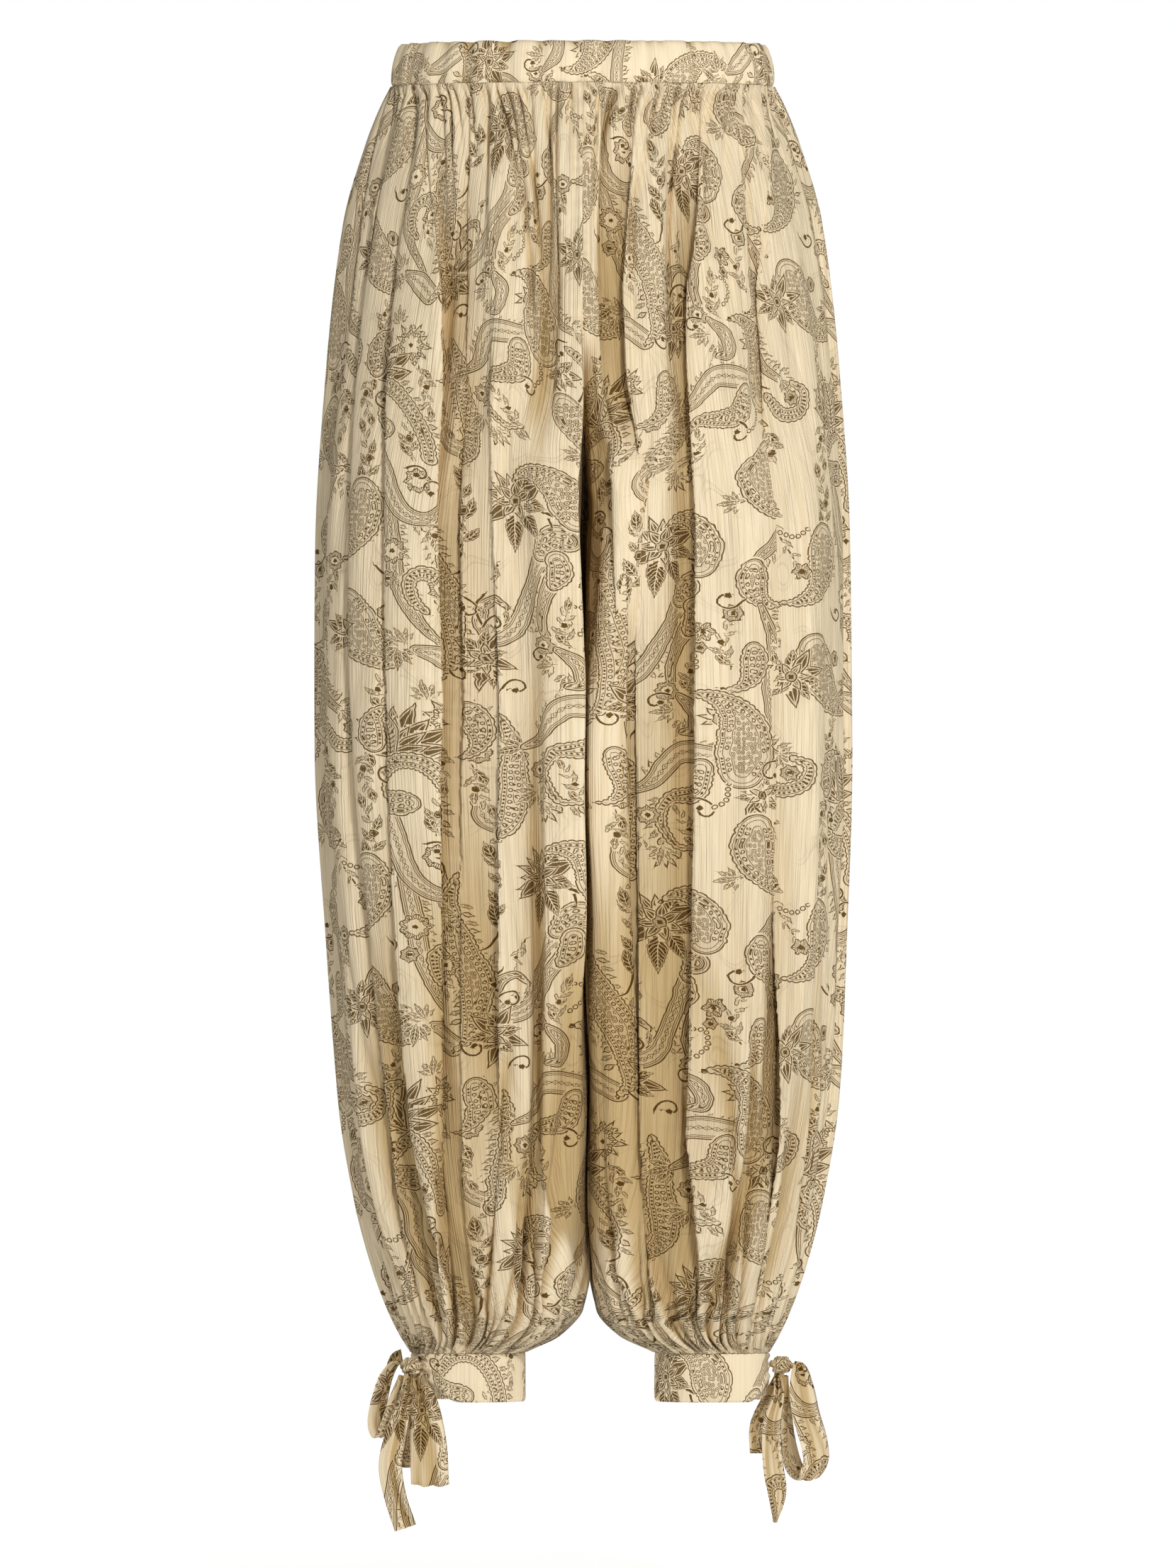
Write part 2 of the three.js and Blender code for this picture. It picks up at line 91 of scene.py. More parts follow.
def add_floor():
    mesh = bpy.data.meshes.new("floor")
    corners = [(x, y, FLOOR["z"]) for x, y in (
        (-FLOOR["side"], FLOOR["ahead"]),
        (FLOOR["side"], FLOOR["ahead"]),
        (FLOOR["side"], FLOOR["behind"]),
        (-FLOOR["side"], FLOOR["behind"]),
    )]
    mesh.from_pydata(corners, [], [(0, 1, 2, 3)])
    material = bpy.data.materials.new("floor")
    material.use_nodes = True
    shader = material.node_tree.nodes["Principled BSDF"]
    shader.inputs["Base Color"].default_value = (*[FLOOR_LOOK["grey"]] * 3, 1)
    shader.inputs["Roughness"].default_value = FLOOR_LOOK["roughness"]
    shader.inputs["Emission Color"].default_value = WHITE
    shader.inputs["Emission Strength"].default_value = FLOOR_LOOK["glow"]
    mesh.materials.append(material)
    floor = bpy.data.objects.new("floor", mesh)
    bpy.context.collection.objects.link(floor)


def add_world():
    """Soft light from all round, which itself looks white."""
    world = bpy.data.worlds.new("studio")
    world.use_nodes = True
    tree = world.node_tree
    lit = tree.nodes["Background"]
    lit.inputs["Color"].default_value = WORLD_LIGHT["colour"]
    lit.inputs["Strength"].default_value = WORLD_LIGHT["strength"]
    seen = tree.nodes.new("ShaderNodeBackground")
    seen.inputs["Color"].default_value = WHITE
    rays = tree.nodes.new("ShaderNodeLightPath")
    mix = tree.nodes.new("ShaderNodeMixShader")
    tree.links.new(rays.outputs["Is Camera Ray"], mix.inputs[0])
    tree.links.new(lit.outputs[0], mix.inputs[1])
    tree.links.new(seen.outputs[0], mix.inputs[2])
    tree.links.new(mix.outputs[0], tree.nodes["World Output"].inputs[0])
    bpy.context.scene.world = world


bpy.context.scene.view_settings.view_transform = "Standard"
add_camera()
for light_name, light in LIGHTS.items():
    add_area_light(light_name, **light)
add_world()
add_floor()

# ---------------------------------------------------------------- sizes of the garment

SEAM_GAP = 0.3
BODY_POWER = 2.15
LEG_POWER = 2.4
WAISTBAND = {"half": 16, "top_side": 141, "hem_side": 147, "top_depth": 95, "hem_depth": 98, "wall": 3}
CUFF = {"height": 37, "centre": 93, "half_width": 43.8, "half_depth": 42, "wall": 2.4, "cut": 286}
CUFF_TOP = -983.0
ANKLE_SWING = 5.5
KNOT = {"half_width": 9, "half_depth": 8, "half_height": 9}
KNOT_GAP = 0.9

# The tie draws the lower edge of the cuff up by the rise, out to the reach from the knot.
CUFF_PULL = {"rise": 15, "reach": 34}

# How wide the cloth of one panel is cut, and how finely its mesh and its profile are worked out.
PANEL_CUT = {"width": 370, "columns": 226, "rows": 436}
CREST_STEPS = 480
PROFILE_STEPS = 1500


def table(columns, rows):
    """Rows of numbers under named columns, as one array for each column."""
    return {name: np.array(values, float) for name, values in zip(columns.split(), zip(*rows))}


# The crest of the cloth from the waist seam to the cuff seam: z is the height, and the other
# columns are as the solids have them, but for up to 3 mm more swing between the knee and the ankle.
SECTIONS = table("z side front back inner legs crowd swing folds square", [
    (-16.3, 147, 98, 98, 0.2, 0, 0, 0, 0.1, 5),
    (-32, 155, 104, 106, 0.2, 0, 0.15, 0, 0.3, 5),
    (-60, 166, 112, 116, 0.2, 0, 0.3, 0, 0.5, 5),
    (-120, 183, 121, 132, 0.2, 0, 0.5, 0, 0.8, 5),
    (-230, 196, 128, 142, 0.2, 0.08, 0.6, 0, 1, 5),
    (-370, 204.5, 131, 141, 0.2, 0.8, 0.3, 0, 1, 4.2),
    (-520, 205.5, 133, 138, 0.2, 1, 0, 0.6, 1, 5),
    (-670, 199, 131, 134, 0.2, 1, 0, 2.8, 1, 5),
    (-790, 191.5, 125, 127, 0.2, 1, 0, 4.4, 1, 4.6),
    (-868, 179, 117, 117, 0.2, 1, 0, 4.4, 0.9, 3.6),
    (-918, 166, 104, 104, 0.6, 1, 0, 4.6, 0.7, 2.8),
    (-950, 154.5, 88, 88, 5, 1, 0, 4.9, 0.45, 2.4),
    (-970, 145, 66, 66, 22, 1, 0, 5.2, 0.2, 2.4),
    (-982.7, 137.3, 43, 43, 48.2, 1, 0, 5.5, 0, 2.4),
])

# The large folds of each panel, from the side seam to the centre: where each lies across the
# panel at five levels, how far it sinks, and how far it takes to rise again on either side.
FOLD_LEVELS = {"waist": -16, "hip": -170, "knee": -490, "shin": -815, "ankle": -925}
FOLD_COLUMNS = "waist hip knee shin ankle depth side_run centre_run"
FOLDS = {
    "front_left_leg": table(FOLD_COLUMNS, [
        (0.97, 0.83, 0.79, 0.88, 0.91, 8, 20, 12),
        (0.86, 0.75, 0.71, 0.8, 0.83, 10, 12, 22),
        (0.69, 0.56, 0.54, 0.52, 0.65, 6, 16, 16),
        (0.57, 0.46, 0.39, 0.4, 0.46, 18, 13, 20),
        (0.43, 0.37, 0.33, 0.32, 0.37, 6, 12, 18),
        (0.23, 0.18, 0.2, 0.21, 0.26, 15, 11, 18),
        (0.05, 0.04, 0.07, 0.12, 0.18, 12, 12, 14),
    ]),
    "front_right_leg": table(FOLD_COLUMNS, [
        (0.95, 0.93, 0.91, 0.88, 0.9, 10, 16, 12),
        (0.86, 0.79, 0.75, 0.78, 0.8, 12, 18, 11),
        (0.75, 0.61, 0.55, 0.62, 0.66, 18, 12, 15),
        (0.61, 0.5, 0.45, 0.52, 0.57, 9, 14, 11),
        (0.53, 0.43, 0.35, 0.41, 0.5, 12, 18, 11),
        (0.37, 0.27, 0.22, 0.26, 0.32, 7, 14, 20),
        (0.2, 0.12, 0.1, 0.14, 0.2, 10, 14, 14),
    ]),
    "back_left_leg": table(FOLD_COLUMNS, [
        (0.93, 0.92, 0.89, 0.9, 0.92, 9, 14, 14),
        (0.82, 0.78, 0.74, 0.77, 0.8, 13, 12, 20),
        (0.68, 0.6, 0.58, 0.62, 0.68, 8, 17, 12),
        (0.55, 0.48, 0.44, 0.5, 0.56, 17, 12, 19),
        (0.41, 0.33, 0.31, 0.34, 0.42, 7, 14, 16),
        (0.26, 0.2, 0.18, 0.22, 0.28, 13, 18, 12),
        (0.1, 0.06, 0.07, 0.1, 0.15, 9, 12, 14),
    ]),
    "back_right_leg": table(FOLD_COLUMNS, [
        (0.95, 0.9, 0.87, 0.87, 0.9, 11, 13, 16),
        (0.84, 0.75, 0.7, 0.74, 0.79, 8, 16, 12),
        (0.7, 0.63, 0.56, 0.61, 0.67, 16, 19, 12),
        (0.53, 0.46, 0.42, 0.46, 0.54, 9, 12, 17),
        (0.39, 0.32, 0.28, 0.33, 0.4, 14, 12, 18),
        (0.23, 0.18, 0.15, 0.19, 0.26, 8, 14, 14),
        (0.08, 0.05, 0.05, 0.08, 0.13, 11, 14, 12),
    ]),
}

# How far a fold's edge lies over the fold, as a share of how deep it is, how much deeper the folds
# are than the table says, how deep they go at most, and how far from a seam they fade out.
FOLD_LAP = 0.8
FOLD_DEEPER = 1.25
FOLD_LIMIT = 30
FOLD_FADE = 26

# The small folds at a gathered seam: how many there are, how deep the deepest is, and the
# shortest and longest run away from the seam. A seam holds the cloth flat over SEAM_HOLD.
GATHERS = {
    "waist": {"z": -16.3, "count": 27, "depth": 10, "shortest": 34, "longest": 330},
    "ankle": {"z": -982.7, "count": 29, "depth": 18, "shortest": 50, "longest": 420},
}
SEAM_HOLD = 9

# Soft shallow waves down the cloth: the shortest and longest, and how deep those two are.
RIPPLES = {"count": 9, "shortest": 16, "longest": 74, "shallowest": 0.9, "deepest": 2.8}

# Where the print's largest flower lies in the repeat, and where on each panel, by x and z.
LOTUS = (162.0, 47.0)
LOTUS_ON_PANEL = {
    "front_right_leg": (-50, -335),
    "front_left_leg": (60, -368),
    "back_right_leg": (-90, -270),
    "back_left_leg": (120, -310),
}

# Where the cloth of the bands, the knots and the strips starts in the repeat.
BAND_PRINT = (80, 150)
CUFF_PRINT = {"left": (-12, 29), "right": (-161, 244)}
KNOT_PRINT = (20, 90)
STRIP_PRINT = (200, 20)

# The seam down the middle of the front and the back, and the fold under it.
CENTRE_SEAM = {"end": 212, "groove": 2.4, "pucker": 1.1, "fold": 24}

# Under that seam the wearer's front right panel runs on flat to the centre, and laps over the
# left one. The four heights below the waist say where the flap begins, is whole, fades and ends.
CENTRE_FLAP = {"from": 190, "full": 280, "fades": 560, "to": 868, "lap": 5, "lap_reach": 12}

# Where the legs press on each other the cloth has no room for folds, and only waves a little.
PRESSED = {"from": 1, "to": 13, "wave": 2.2, "least": 0.02}

# Cloth this far under the outline is tucked in, and its colour is darkened there as painted shade.
PAINTED_SHADE_DEPTH = 26

# ---------------------------------------------------------------- general geometry


def superellipse(centre, half_width, half_depth, power, sweep, steps, far_power=None):
    """Points from the +X end round towards +Y; the -X half may have a power of its own."""
    angle = np.linspace(0, sweep, steps + 1)
    bend = 2 / np.where(np.cos(angle) < 0, far_power or power, power)
    across = np.sign(np.cos(angle)) * np.abs(np.cos(angle)) ** bend
    ahead = np.sign(np.sin(angle)) * np.abs(np.sin(angle)) ** bend
    return np.stack([centre + half_width * across, half_depth * ahead], 1)


def travelled(line):
    """How far along a line of points each of them lies."""
    return np.concatenate([[0], np.cumsum(np.linalg.norm(np.diff(line, axis=0), axis=1))])


def columns_at(places, at, values):
    """Every column of values, which lie at `at`, worked out at other places."""
    return np.stack([np.interp(places, at, values[:, k]) for k in range(values.shape[1])], 1)


def evenly(line, steps):
    """The same line, with points at even distances."""
    along = travelled(line)
    return columns_at(np.linspace(0, along[-1], steps + 1), along, line)


def outward_normals(line):
    """Unit normals to the right of a line's own direction."""
    travel = np.gradient(line, axis=0)
    normal = np.stack([travel[:, 1], -travel[:, 0]], 1)
    return normal / np.linalg.norm(normal, axis=1, keepdims=True)


def smoothstep(value, low, high):
    """From 0 at the low end to 1 at the high end, with no kink at either."""
    part = np.clip((value - low) / (high - low), 0, 1)
    return part * part * (3 - 2 * part)


def between_rows(z, rows_z, values):
    """Values of a table between its rows, with no kink at a row and no bump between two."""
    rise = np.diff(values) / np.diff(rows_z)
    slope = np.concatenate([[rise[0]], np.zeros(len(rise) - 1), [rise[-1]]])
    same = rise[:-1] * rise[1:] > 0
    low, high = rise[:-1][same], rise[1:][same]
    slope[1:-1][same] = 2 * low * high / (low + high)
    i = np.clip(np.searchsorted(-rows_z, -z, side="right") - 1, 0, len(rise) - 1)
    gap = rows_z[i + 1] - rows_z[i]
    part = (z - rows_z[i]) / gap
    start = (1 + 2 * part) * (1 - part) ** 2 * values[i] + part * (1 - part) ** 2 * gap * slope[i]
    end = part * part * (3 - 2 * part) * values[i + 1] + part * part * (part - 1) * gap * slope[i + 1]
    return start + end


def catmull_rom(stations, steps):
    """Smooth values through the rows of an array, at even steps from the first to the last."""
    padded = np.concatenate([[2 * stations[0] - stations[1]], stations, [2 * stations[-1] - stations[-2]]])
    place = np.linspace(0, len(stations) - 1, steps + 1)
    first = np.minimum(place.astype(int), len(stations) - 2)
    part = (place - first)[:, None]
    a, b, c, d = (padded[first + k] for k in range(4))
    return 0.5 * (2 * b + (c - a) * part + (2 * a - 5 * b + 4 * c - d) * part ** 2
                  + (3 * b - a - 3 * c + d) * part ** 3)


# ---------------------------------------------------------------- the print's repeat

# One repeat of the paisley is drawn in millimetres, x to the side and y downwards, from bodies
# that lie on each other. Each body is a bent spine with half widths along it, and its kind says
# what is drawn inside its outline.
REPEAT = np.array([299.0, 285.2])
PRINT_CELL = 2.3
# A body's values are kept this far outside its outline, and a spot further from all has none.
PRINT_HALO = 1.5
NO_BODY = -9.0
RIBBON, BOTEH, PETAL, STEM, FEATHER, ROSETTE, LEAF, BEADS = range(1, 9)
# These end in points, and are drawn from the distance to their spine.
POINTED = (PETAL, STEM, LEAF)
RIBBON_FULLNESS = 1.3
BOTEH_FULLNESS = 1.2
SPINE_STEPS = 7
# A face's kind of body is a whole number, and this much on top of it says how much painted shade it gets
# where it is tucked in.
PAINTED_SHADE_SHARE = 0.4


def spine(kind, points, widths):
    """A body along a smooth line, with its half widths at even steps from end to end."""
    path = catmull_rom(np.array(points, float), SPINE_STEPS * (len(points) - 1))
    at = travelled(path)
    half = np.interp(at / at[-1], np.linspace(0, 1, len(widths)), widths)
    return {"kind": kind, "path": path, "at": at, "half": half * (RIBBON_FULLNESS if kind == RIBBON else 1)}


def rosette(x, y, radius, lobes=8, depth=0.12):
    """A round body with lobes, which are some share of its radius deep."""
    return {"kind": ROSETTE, "centre": np.array([x, y]), "radius": radius, "lobes": lobes, "depth": depth}


def petal(kind, x, y, angle, length, width, bend=0.0):
    """A pointed petal or leaf from its root, bent to one side."""
    turn = math.radians(angle)
    ahead = np.array([math.cos(turn), math.sin(turn)])
    aside = np.array([-ahead[1], ahead[0]])
    points = [np.array([x, y]) + length * (ahead * part + aside * bend * part ** 2)
              for part in (0, 0.25, 0.5, 0.75, 1)]
    return spine(kind, points, (0.35 * width, 0.85 * width, width, 0.6 * width, 0.1))


def flower(x, y, size, turn=0.0, petals=9):
    """A lotus: pointed petals of two sizes round a small rosette."""
    made = []
    for k in range(petals):
        length = size * (1.0, 0.78, 0.88)[k % 3]
        kind = LEAF if k % 3 else PETAL
        made.append(petal(kind, x, y, turn + 360 * k / petals, length, size * 0.19, 0.1 * (-1) ** k))
    made += [petal(PETAL, x, y, turn + 20 + 60 * k, size * 0.48, size * 0.12) for k in range(6)]
    return [*made, rosette(x, y, size * 0.17, 6, 0.15)]


def scalloped(x, y, angle, spread, size, count):
    """A fan of short broad petals."""
    made = []
    for k in range(count):
        way = angle + spread * (k / (count - 1) - 0.5)
        made.append(petal(PETAL, x, y, way, size * (0.86 + 0.14 * (k % 2)), size * 0.16))
    return made


def direction(path):
    """Which way a line of points runs at each of them, in radians."""
    return np.arctan2(*np.gradient(path, axis=0).T[::-1])


def spray(points, count, length, width):
    """Leaves on both sides of a stem, and one at its end."""
    steps = 24
    path = catmull_rom(np.array(points, float), steps)
    way = np.degrees(direction(path))
    made = [spine(STEM, points, (0.7, 0.5))]
    for k in range(2 * count):
        i = int(steps * (k + 0.4) / (2 * count))
        side = 1 if k % 2 else -1
        size = length * (1.15 - 0.3 * k / count) * (1, 0.75, 0.9)[k % 3]
        angle = way[i] + side * (44 + 12 * (k % 3))
        made.append(petal(LEAF, *path[i], angle, size, width * size / length, -0.35 * side))
    made.append(petal(LEAF, *path[-1], way[-1], length * 0.8, width))
    return [*made, rosette(*path[steps // 2], width * 0.8, 6, 0.15)]


def star_leaf(x, y, angle, size):
    """A leaf of five points."""
    return [petal(LEAF, x, y, angle + turn, size * share, size * 0.2)
            for turn, share in ((-75, 0.7), (75, 0.7), (-38, 0.9), (38, 0.9), (0, 1.1))]


def frill(points, side, pitch, size, offset=4.5):
    """Small leaves along one side of a spine, from a little way off it."""
    path = catmull_rom(np.array(points, float), 60)
    at = travelled(path)
    way = direction(path)
    edge = path + side * offset * np.stack([-np.sin(way), np.cos(way)], 1)
    made = []
    for n, i in enumerate(np.searchsorted(at, np.arange(pitch / 2, at[-1], pitch))):
        kind = PETAL if n % 2 else LEAF
        length = size * (1, 0.7)[n % 2]
        made.append(petal(kind, *edge[i], math.degrees(way[i]) + side * 60, length, size * 0.27))
    return made


def curled(x, y, angle, length, curl, steps, bend):
    """Points of a line that bends more and more towards its end."""
    points = [np.array([x, y], float)]
    for part in np.arange(0.5, steps) / steps:
        turn = math.radians(angle + curl * part ** bend)
        points.append(points[-1] + length / steps * np.array([math.cos(turn), math.sin(turn)]))
    return points


def boteh(x, y, angle, length, radius, curl):
    """A teardrop from its broad end, whose tail bends to one side and ends in a point."""
    widths = [BOTEH_FULLNESS * radius * share for share in (0.75, 1, 0.9, 0.64, 0.42, 0.24, 0.06)]
    return spine(BOTEH, curled(x, y, angle, length, curl, 6, 1.6), widths)


def tendril(x, y, angle, length, curl):
    """A thin stem that rolls up towards its end."""
    points = curled(x, y, angle, length, curl, 8, 1.8)
    return [spine(STEM, points, (0.75, 0.6, 0.75)), rosette(*points[-1], 2.2, 5, 0.1)]


def chart():
    """All bodies of one repeat, from the lowest to the topmost."""
    long_curve = [(34, -12), (41, 18), (47, 42), (58, 57), (72, 61), (82, 52), (81, 40)]
    branch = [(44, 28), (46, 52), (50, 78), (54, 108), (66, 138), (80, 158)]
    loop = [(192, 76), (177, 92), (166, 116), (154, 143), (138, 152), (127, 142), (129, 128), (141, 121),
            (150, 128)]
    long_back = [(84, 66), (92, 98), (106, 132), (104, 160)]
    left_tail = [(186, 104), (177, 122), (173, 142), (178, 160)]
    arch = [(30, 262), (42, 246), (60, 246), (74, 262), (80, 284), (78, 300)]
    low_band = [(150, 234), (164, 226), (174, 212), (186, 203), (212, 206)]
    low_head = [(208, 216), (203, 232), (190, 236), (175, 238), (168, 254), (176, 274), (190, 276)]
    tall = [(138, 210), (143, 232), (142, 262), (136, 290), (124, 300)]
    side_ribbon = [(243, 92), (252, 122), (249, 158), (258, 192), (276, 206)]
    right_hook = [(262, 218), (276, 232), (292, 228), (296, 214), (286, 208)]
    upper_band = [(222, 14), (238, 4), (256, 8), (262, 26), (252, 44), (238, 60), (236, 80)]
    bodies = [
        *frill(long_curve[1:5], 1, 6, 9), *frill(branch[1:5], -1, 5.5, 8),
        *frill(left_tail, 1, 5.5, 7.5, 2.5), *frill(low_head[3:], 1, 5.5, 9, 3),
        *frill(side_ribbon, -1, 6, 9), *frill(upper_band[2:], -1, 5.5, 8),
        *frill(loop[1:4], -1, 6, 8), *frill(arch, -1, 6.5, 9, 6), *frill(low_band[1:], -1, 6, 8),
        *frill(tall, 1, 6, 9, 8), *frill(long_back, 1, 7, 9, 9.5), *frill(long_back, -1, 7, 8, 9.5),
        *spray([(14, 36), (18, 14), (12, -6)], 3, 14, 3.8),
        *frill([(4, 78), (26, 62), (18, 40)], 1, 5, 7, 3), boteh(12, 40, 84, 72, 14, 110),
        *frill([(-2, 164), (16, 142), (8, 116)], -1, 5.5, 8, 4),
        boteh(2, 126, 74, 84, 16, -110),
        *spray([(26, 206), (23, 190), (27, 176)], 3, 11, 3), rosette(30, 132, 6, 7),
        *star_leaf(112, 116, -70, 12), rosette(112, 122, 5, 6),
        *spray([(146, 96), (140, 108), (142, 118)], 2, 8, 2.2), *scalloped(220, 178, -95, 210, 15, 8),
        rosette(220, 178, 6, 7), *spray([(222, 186), (220, 200)], 2, 9, 2.6),
        *spray([(224, 138), (218, 120), (224, 104)], 4, 11, 2.8), rosette(225, 98, 6.5, 7),
        *star_leaf(66, 196, -100, 13), *spray([(134, 4), (130, 14), (122, 18)], 2, 9, 2.6),
        spine(RIBBON, [(112, -14), (114, 2), (124, 8), (132, 2), (130, -6)], (3, 5, 5.5, 4.5, 2.5)),
        spine(RIBBON, branch, (3, 4.5, 5, 4, 2)),
        spine(RIBBON, long_curve, (5, 6, 5.5, 5, 4, 2)),
        spine(RIBBON, [(63, 160), (76, 165), (92, 176)], (3, 6.5, 6)),
        spine(BOTEH, [(92, 44), (84, 70), (92, 100), (106, 132), (104, 166), (92, 180)],
              (2, 8, 13, 13.5, 9, 2)),
        spine(BOTEH, [(72, 132), (64, 122), (62, 108), (70, 102), (80, 108), (81, 122)],
              (3, 5, 5.5, 6, 6.5, 5)),
        rosette(82, 114, 8.5, 7), *spray([(80, 122), (84, 134)], 2, 9, 2.4),
        *star_leaf(50, 152, 150, 17), *star_leaf(52, 160, 95, 15), *star_leaf(57, 154, -120, 12),
        rosette(50, 85, 9.5, 9), rosette(47, 106, 6, 7),
        *spray([(66, 14), (68, 0), (70, -16)], 3, 13, 3.4), *spray([(74, 66), (82, 82)], 3, 12, 3.2),
        rosette(66, 32, 9, 8),
        *spray([(118, 88), (122, 66), (119, 44), (116, 34)], 4, 17, 4.6),
        spine(STEM, [(118, 88), (112, 100), (103, 104)], (1.2, 0.8, 0.2)),
        spine(RIBBON, loop, (8, 6, 4, 4.5, 5, 5, 4, 3, 1.5)),
        spine(BOTEH, [(178, 88), (188, 76), (197, 78)], (7, 11.5, 9)),
        *spray([(150, 130), (143, 138), (138, 142)], 2, 8, 2.4),
        spine(STEM, [(127, 140), (124, 128), (131, 118)], (0.9, 0.8, 0.8)),
        spine(RIBBON, left_tail, (5, 4, 3.2, 2.4)),
        spine(BOTEH, [(184, 112), (189, 102), (188, 93)], (5, 9, 8)),
        rosette(172, 157, 7.5, 8), *star_leaf(176, 172, 175, 13), *star_leaf(186, 180, 80, 15),
        spine(RIBBON, [(180, 160), (192, 172), (193, 186), (184, 188)], (2, 4.5, 4.5, 2)),
        *spray([(188, 158), (187, 142), (190, 130)], 4, 11, 2.8),
        spine(BEADS, [(194, 150), (203, 140), (202, 130), (196, 128)], (2, 2.2, 2.2, 2)),
        rosette(207, 112, 7, 6, 0.2), rosette(205, 124, 4.5, 6, 0.2),
        spine(STEM, [(170, 52), (183, 56), (187, 66)], (1.2, 1.1, 0.8)),
        spine(STEM, [(183, 56), (193, 60), (195, 52), (190, 49)], (0.9, 1.2, 1.4, 0.6)),
        *scalloped(*LOTUS, -160, 130, 25, 7),
        petal(LEAF, *LOTUS, 98, 40, 7, -0.06), petal(LEAF, *LOTUS, 58, 34, 6.2, 0.1),
        petal(LEAF, *LOTUS, -62, 35, 7.4, 0.16), petal(PETAL, *LOTUS, 148, 27, 6, -0.1),
        petal(LEAF, *LOTUS, 12, 24, 6.6, 0.1), petal(PETAL, *LOTUS, -28, 27, 6.2),
        *[petal(PETAL, *LOTUS, 25 + 51 * k, 15, 3.8) for k in range(7)], rosette(*LOTUS, 4.6, 7, 0.15),
        boteh(204, 60, -96, 66, 14, -140),
        *scalloped(168, -4, 90, 150, 12, 5), *flower(126, 167, 26, 12, 11),
        rosette(78, 214, 14, 9, 0.16), *scalloped(78, 214, -90, 260, 19, 9), rosette(78, 214, 11, 8),
        *spray([(84, 232), (90, 246), (90, 262)], 3, 11, 3),
        *scalloped(41, 240, -84, 150, 44, 9), *scalloped(41, 240, -80, 130, 30, 7),
        spine(FEATHER, [(41, 240), (40, 222), (36, 204)], (4, 8, 2)),
        spine(BOTEH, arch, (5, 6.5, 7, 7, 6.5, 6)), boteh(52, 276, 175, 42, 8.5, 140),
        *spray([(16, 236), (12, 250), (17, 266)], 3, 12, 3.4),
        spine(BOTEH, tall, (3, 8, 10, 10, 6)), *star_leaf(118, 214, -95, 15), rosette(116, 238, 8, 8),
        *spray([(112, 250), (112, 266), (117, 278)], 3, 12, 3.2),
        *star_leaf(149, 234, 165, 16),
        spine(RIBBON, low_band, (2, 4.5, 6, 7, 6)), spine(BOTEH, low_head, (9, 10, 7, 5, 4, 3.4, 2.4)),
        rosette(161, 251, 7, 8), *star_leaf(155, 268, 150, 14), *star_leaf(166, 276, 100, 12),
        *spray([(190, 276), (186, 262), (180, 250)], 3, 10, 2.6),
        *spray([(268, 10), (276, 36), (290, 62)], 5, 11, 2.6), rosette(292, 66, 6, 6, 0.2),
        spine(BEADS, [(276, 36), (288, 40), (296, 34)], (2, 2.2, 2)),
        spine(RIBBON, upper_band, (2, 4.5, 6, 5, 4, 3, 2)),
        boteh(238, 64, 100, 46, 9.5, -150),
        *star_leaf(224, 14, 170, 13), *flower(284, 146, 24, -20, 10),
        spine(RIBBON, side_ribbon, (2, 4, 4.5, 4, 2.5)), *star_leaf(278, 206, 30, 13),
        boteh(238, 126, 80, 46, 8.5, 130),
        *spray([(268, 96), (266, 112), (262, 128)], 3, 11, 3), rosette(270, 92, 7.5, 8),
        spine(BOTEH, right_hook, (4, 6, 6, 5, 3)), rosette(284, 219, 6, 7),
        *flower(244, 236, 21, 8, 9),
        boteh(232, 218, -78, 84, 16, -120), boteh(112, 206, 60, 50, 9, 140),
        boteh(20, 232, -110, 44, 8, 150),
        *tendril(84, 44, -100, 30, -260), *tendril(128, 142, -60, 34, 300), *tendril(174, 160, 200, 26, -280),
        *tendril(232, 88, 130, 30, 260), *tendril(262, 212, 200, 34, -260), *tendril(30, 262, 200, 28, 300),
        *tendril(118, 120, 30, 26, 260), *tendril(206, 238, 20, 30, 300), *tendril(100, 176, 60, 26, -280),
        *tendril(60, 22, -20, 26, 280), *tendril(24, 96, 60, 30, -300), *tendril(140, 190, -60, 28, 280),
        *spray([(262, 246), (270, 262), (268, 280)], 4, 12, 3.2),
        spine(STEM, [(240, 246), (250, 258), (262, 250)], (1, 1, 0.5)),
        boteh(240, 262, 100, 74, 14, -140),
        spine(BEADS, [(214, 246), (222, 240), (224, 228)], (2, 2.2, 2)),
    ]
    return bodies


def reach_of(body):
    """The corners of a box that holds a whole body."""
    if "centre" in body:
        widest = body["radius"] * 1.3
        return body["centre"] - widest, body["centre"] + widest
    widest = body["half"].max()
    return body["path"].min(0) - widest, body["path"].max(0) + widest


def rosette_values(body, spots):
    """Along, which counts four to a lobe, across and inwards at any spots, for one rosette."""
    away = spots - body["centre"]
    distance = np.hypot(away[..., 0], away[..., 1])
    angle = np.arctan2(away[..., 1], away[..., 0])
    angle = angle[..., :1] + (angle - angle[..., :1] + math.pi) % (2 * math.pi) - math.pi
    edge = body["radius"] * (1 + body["depth"] * np.cos(body["lobes"] * angle))
    return np.stack([angle * 4 * body["lobes"] / (2 * math.pi), distance, edge - distance], -1)


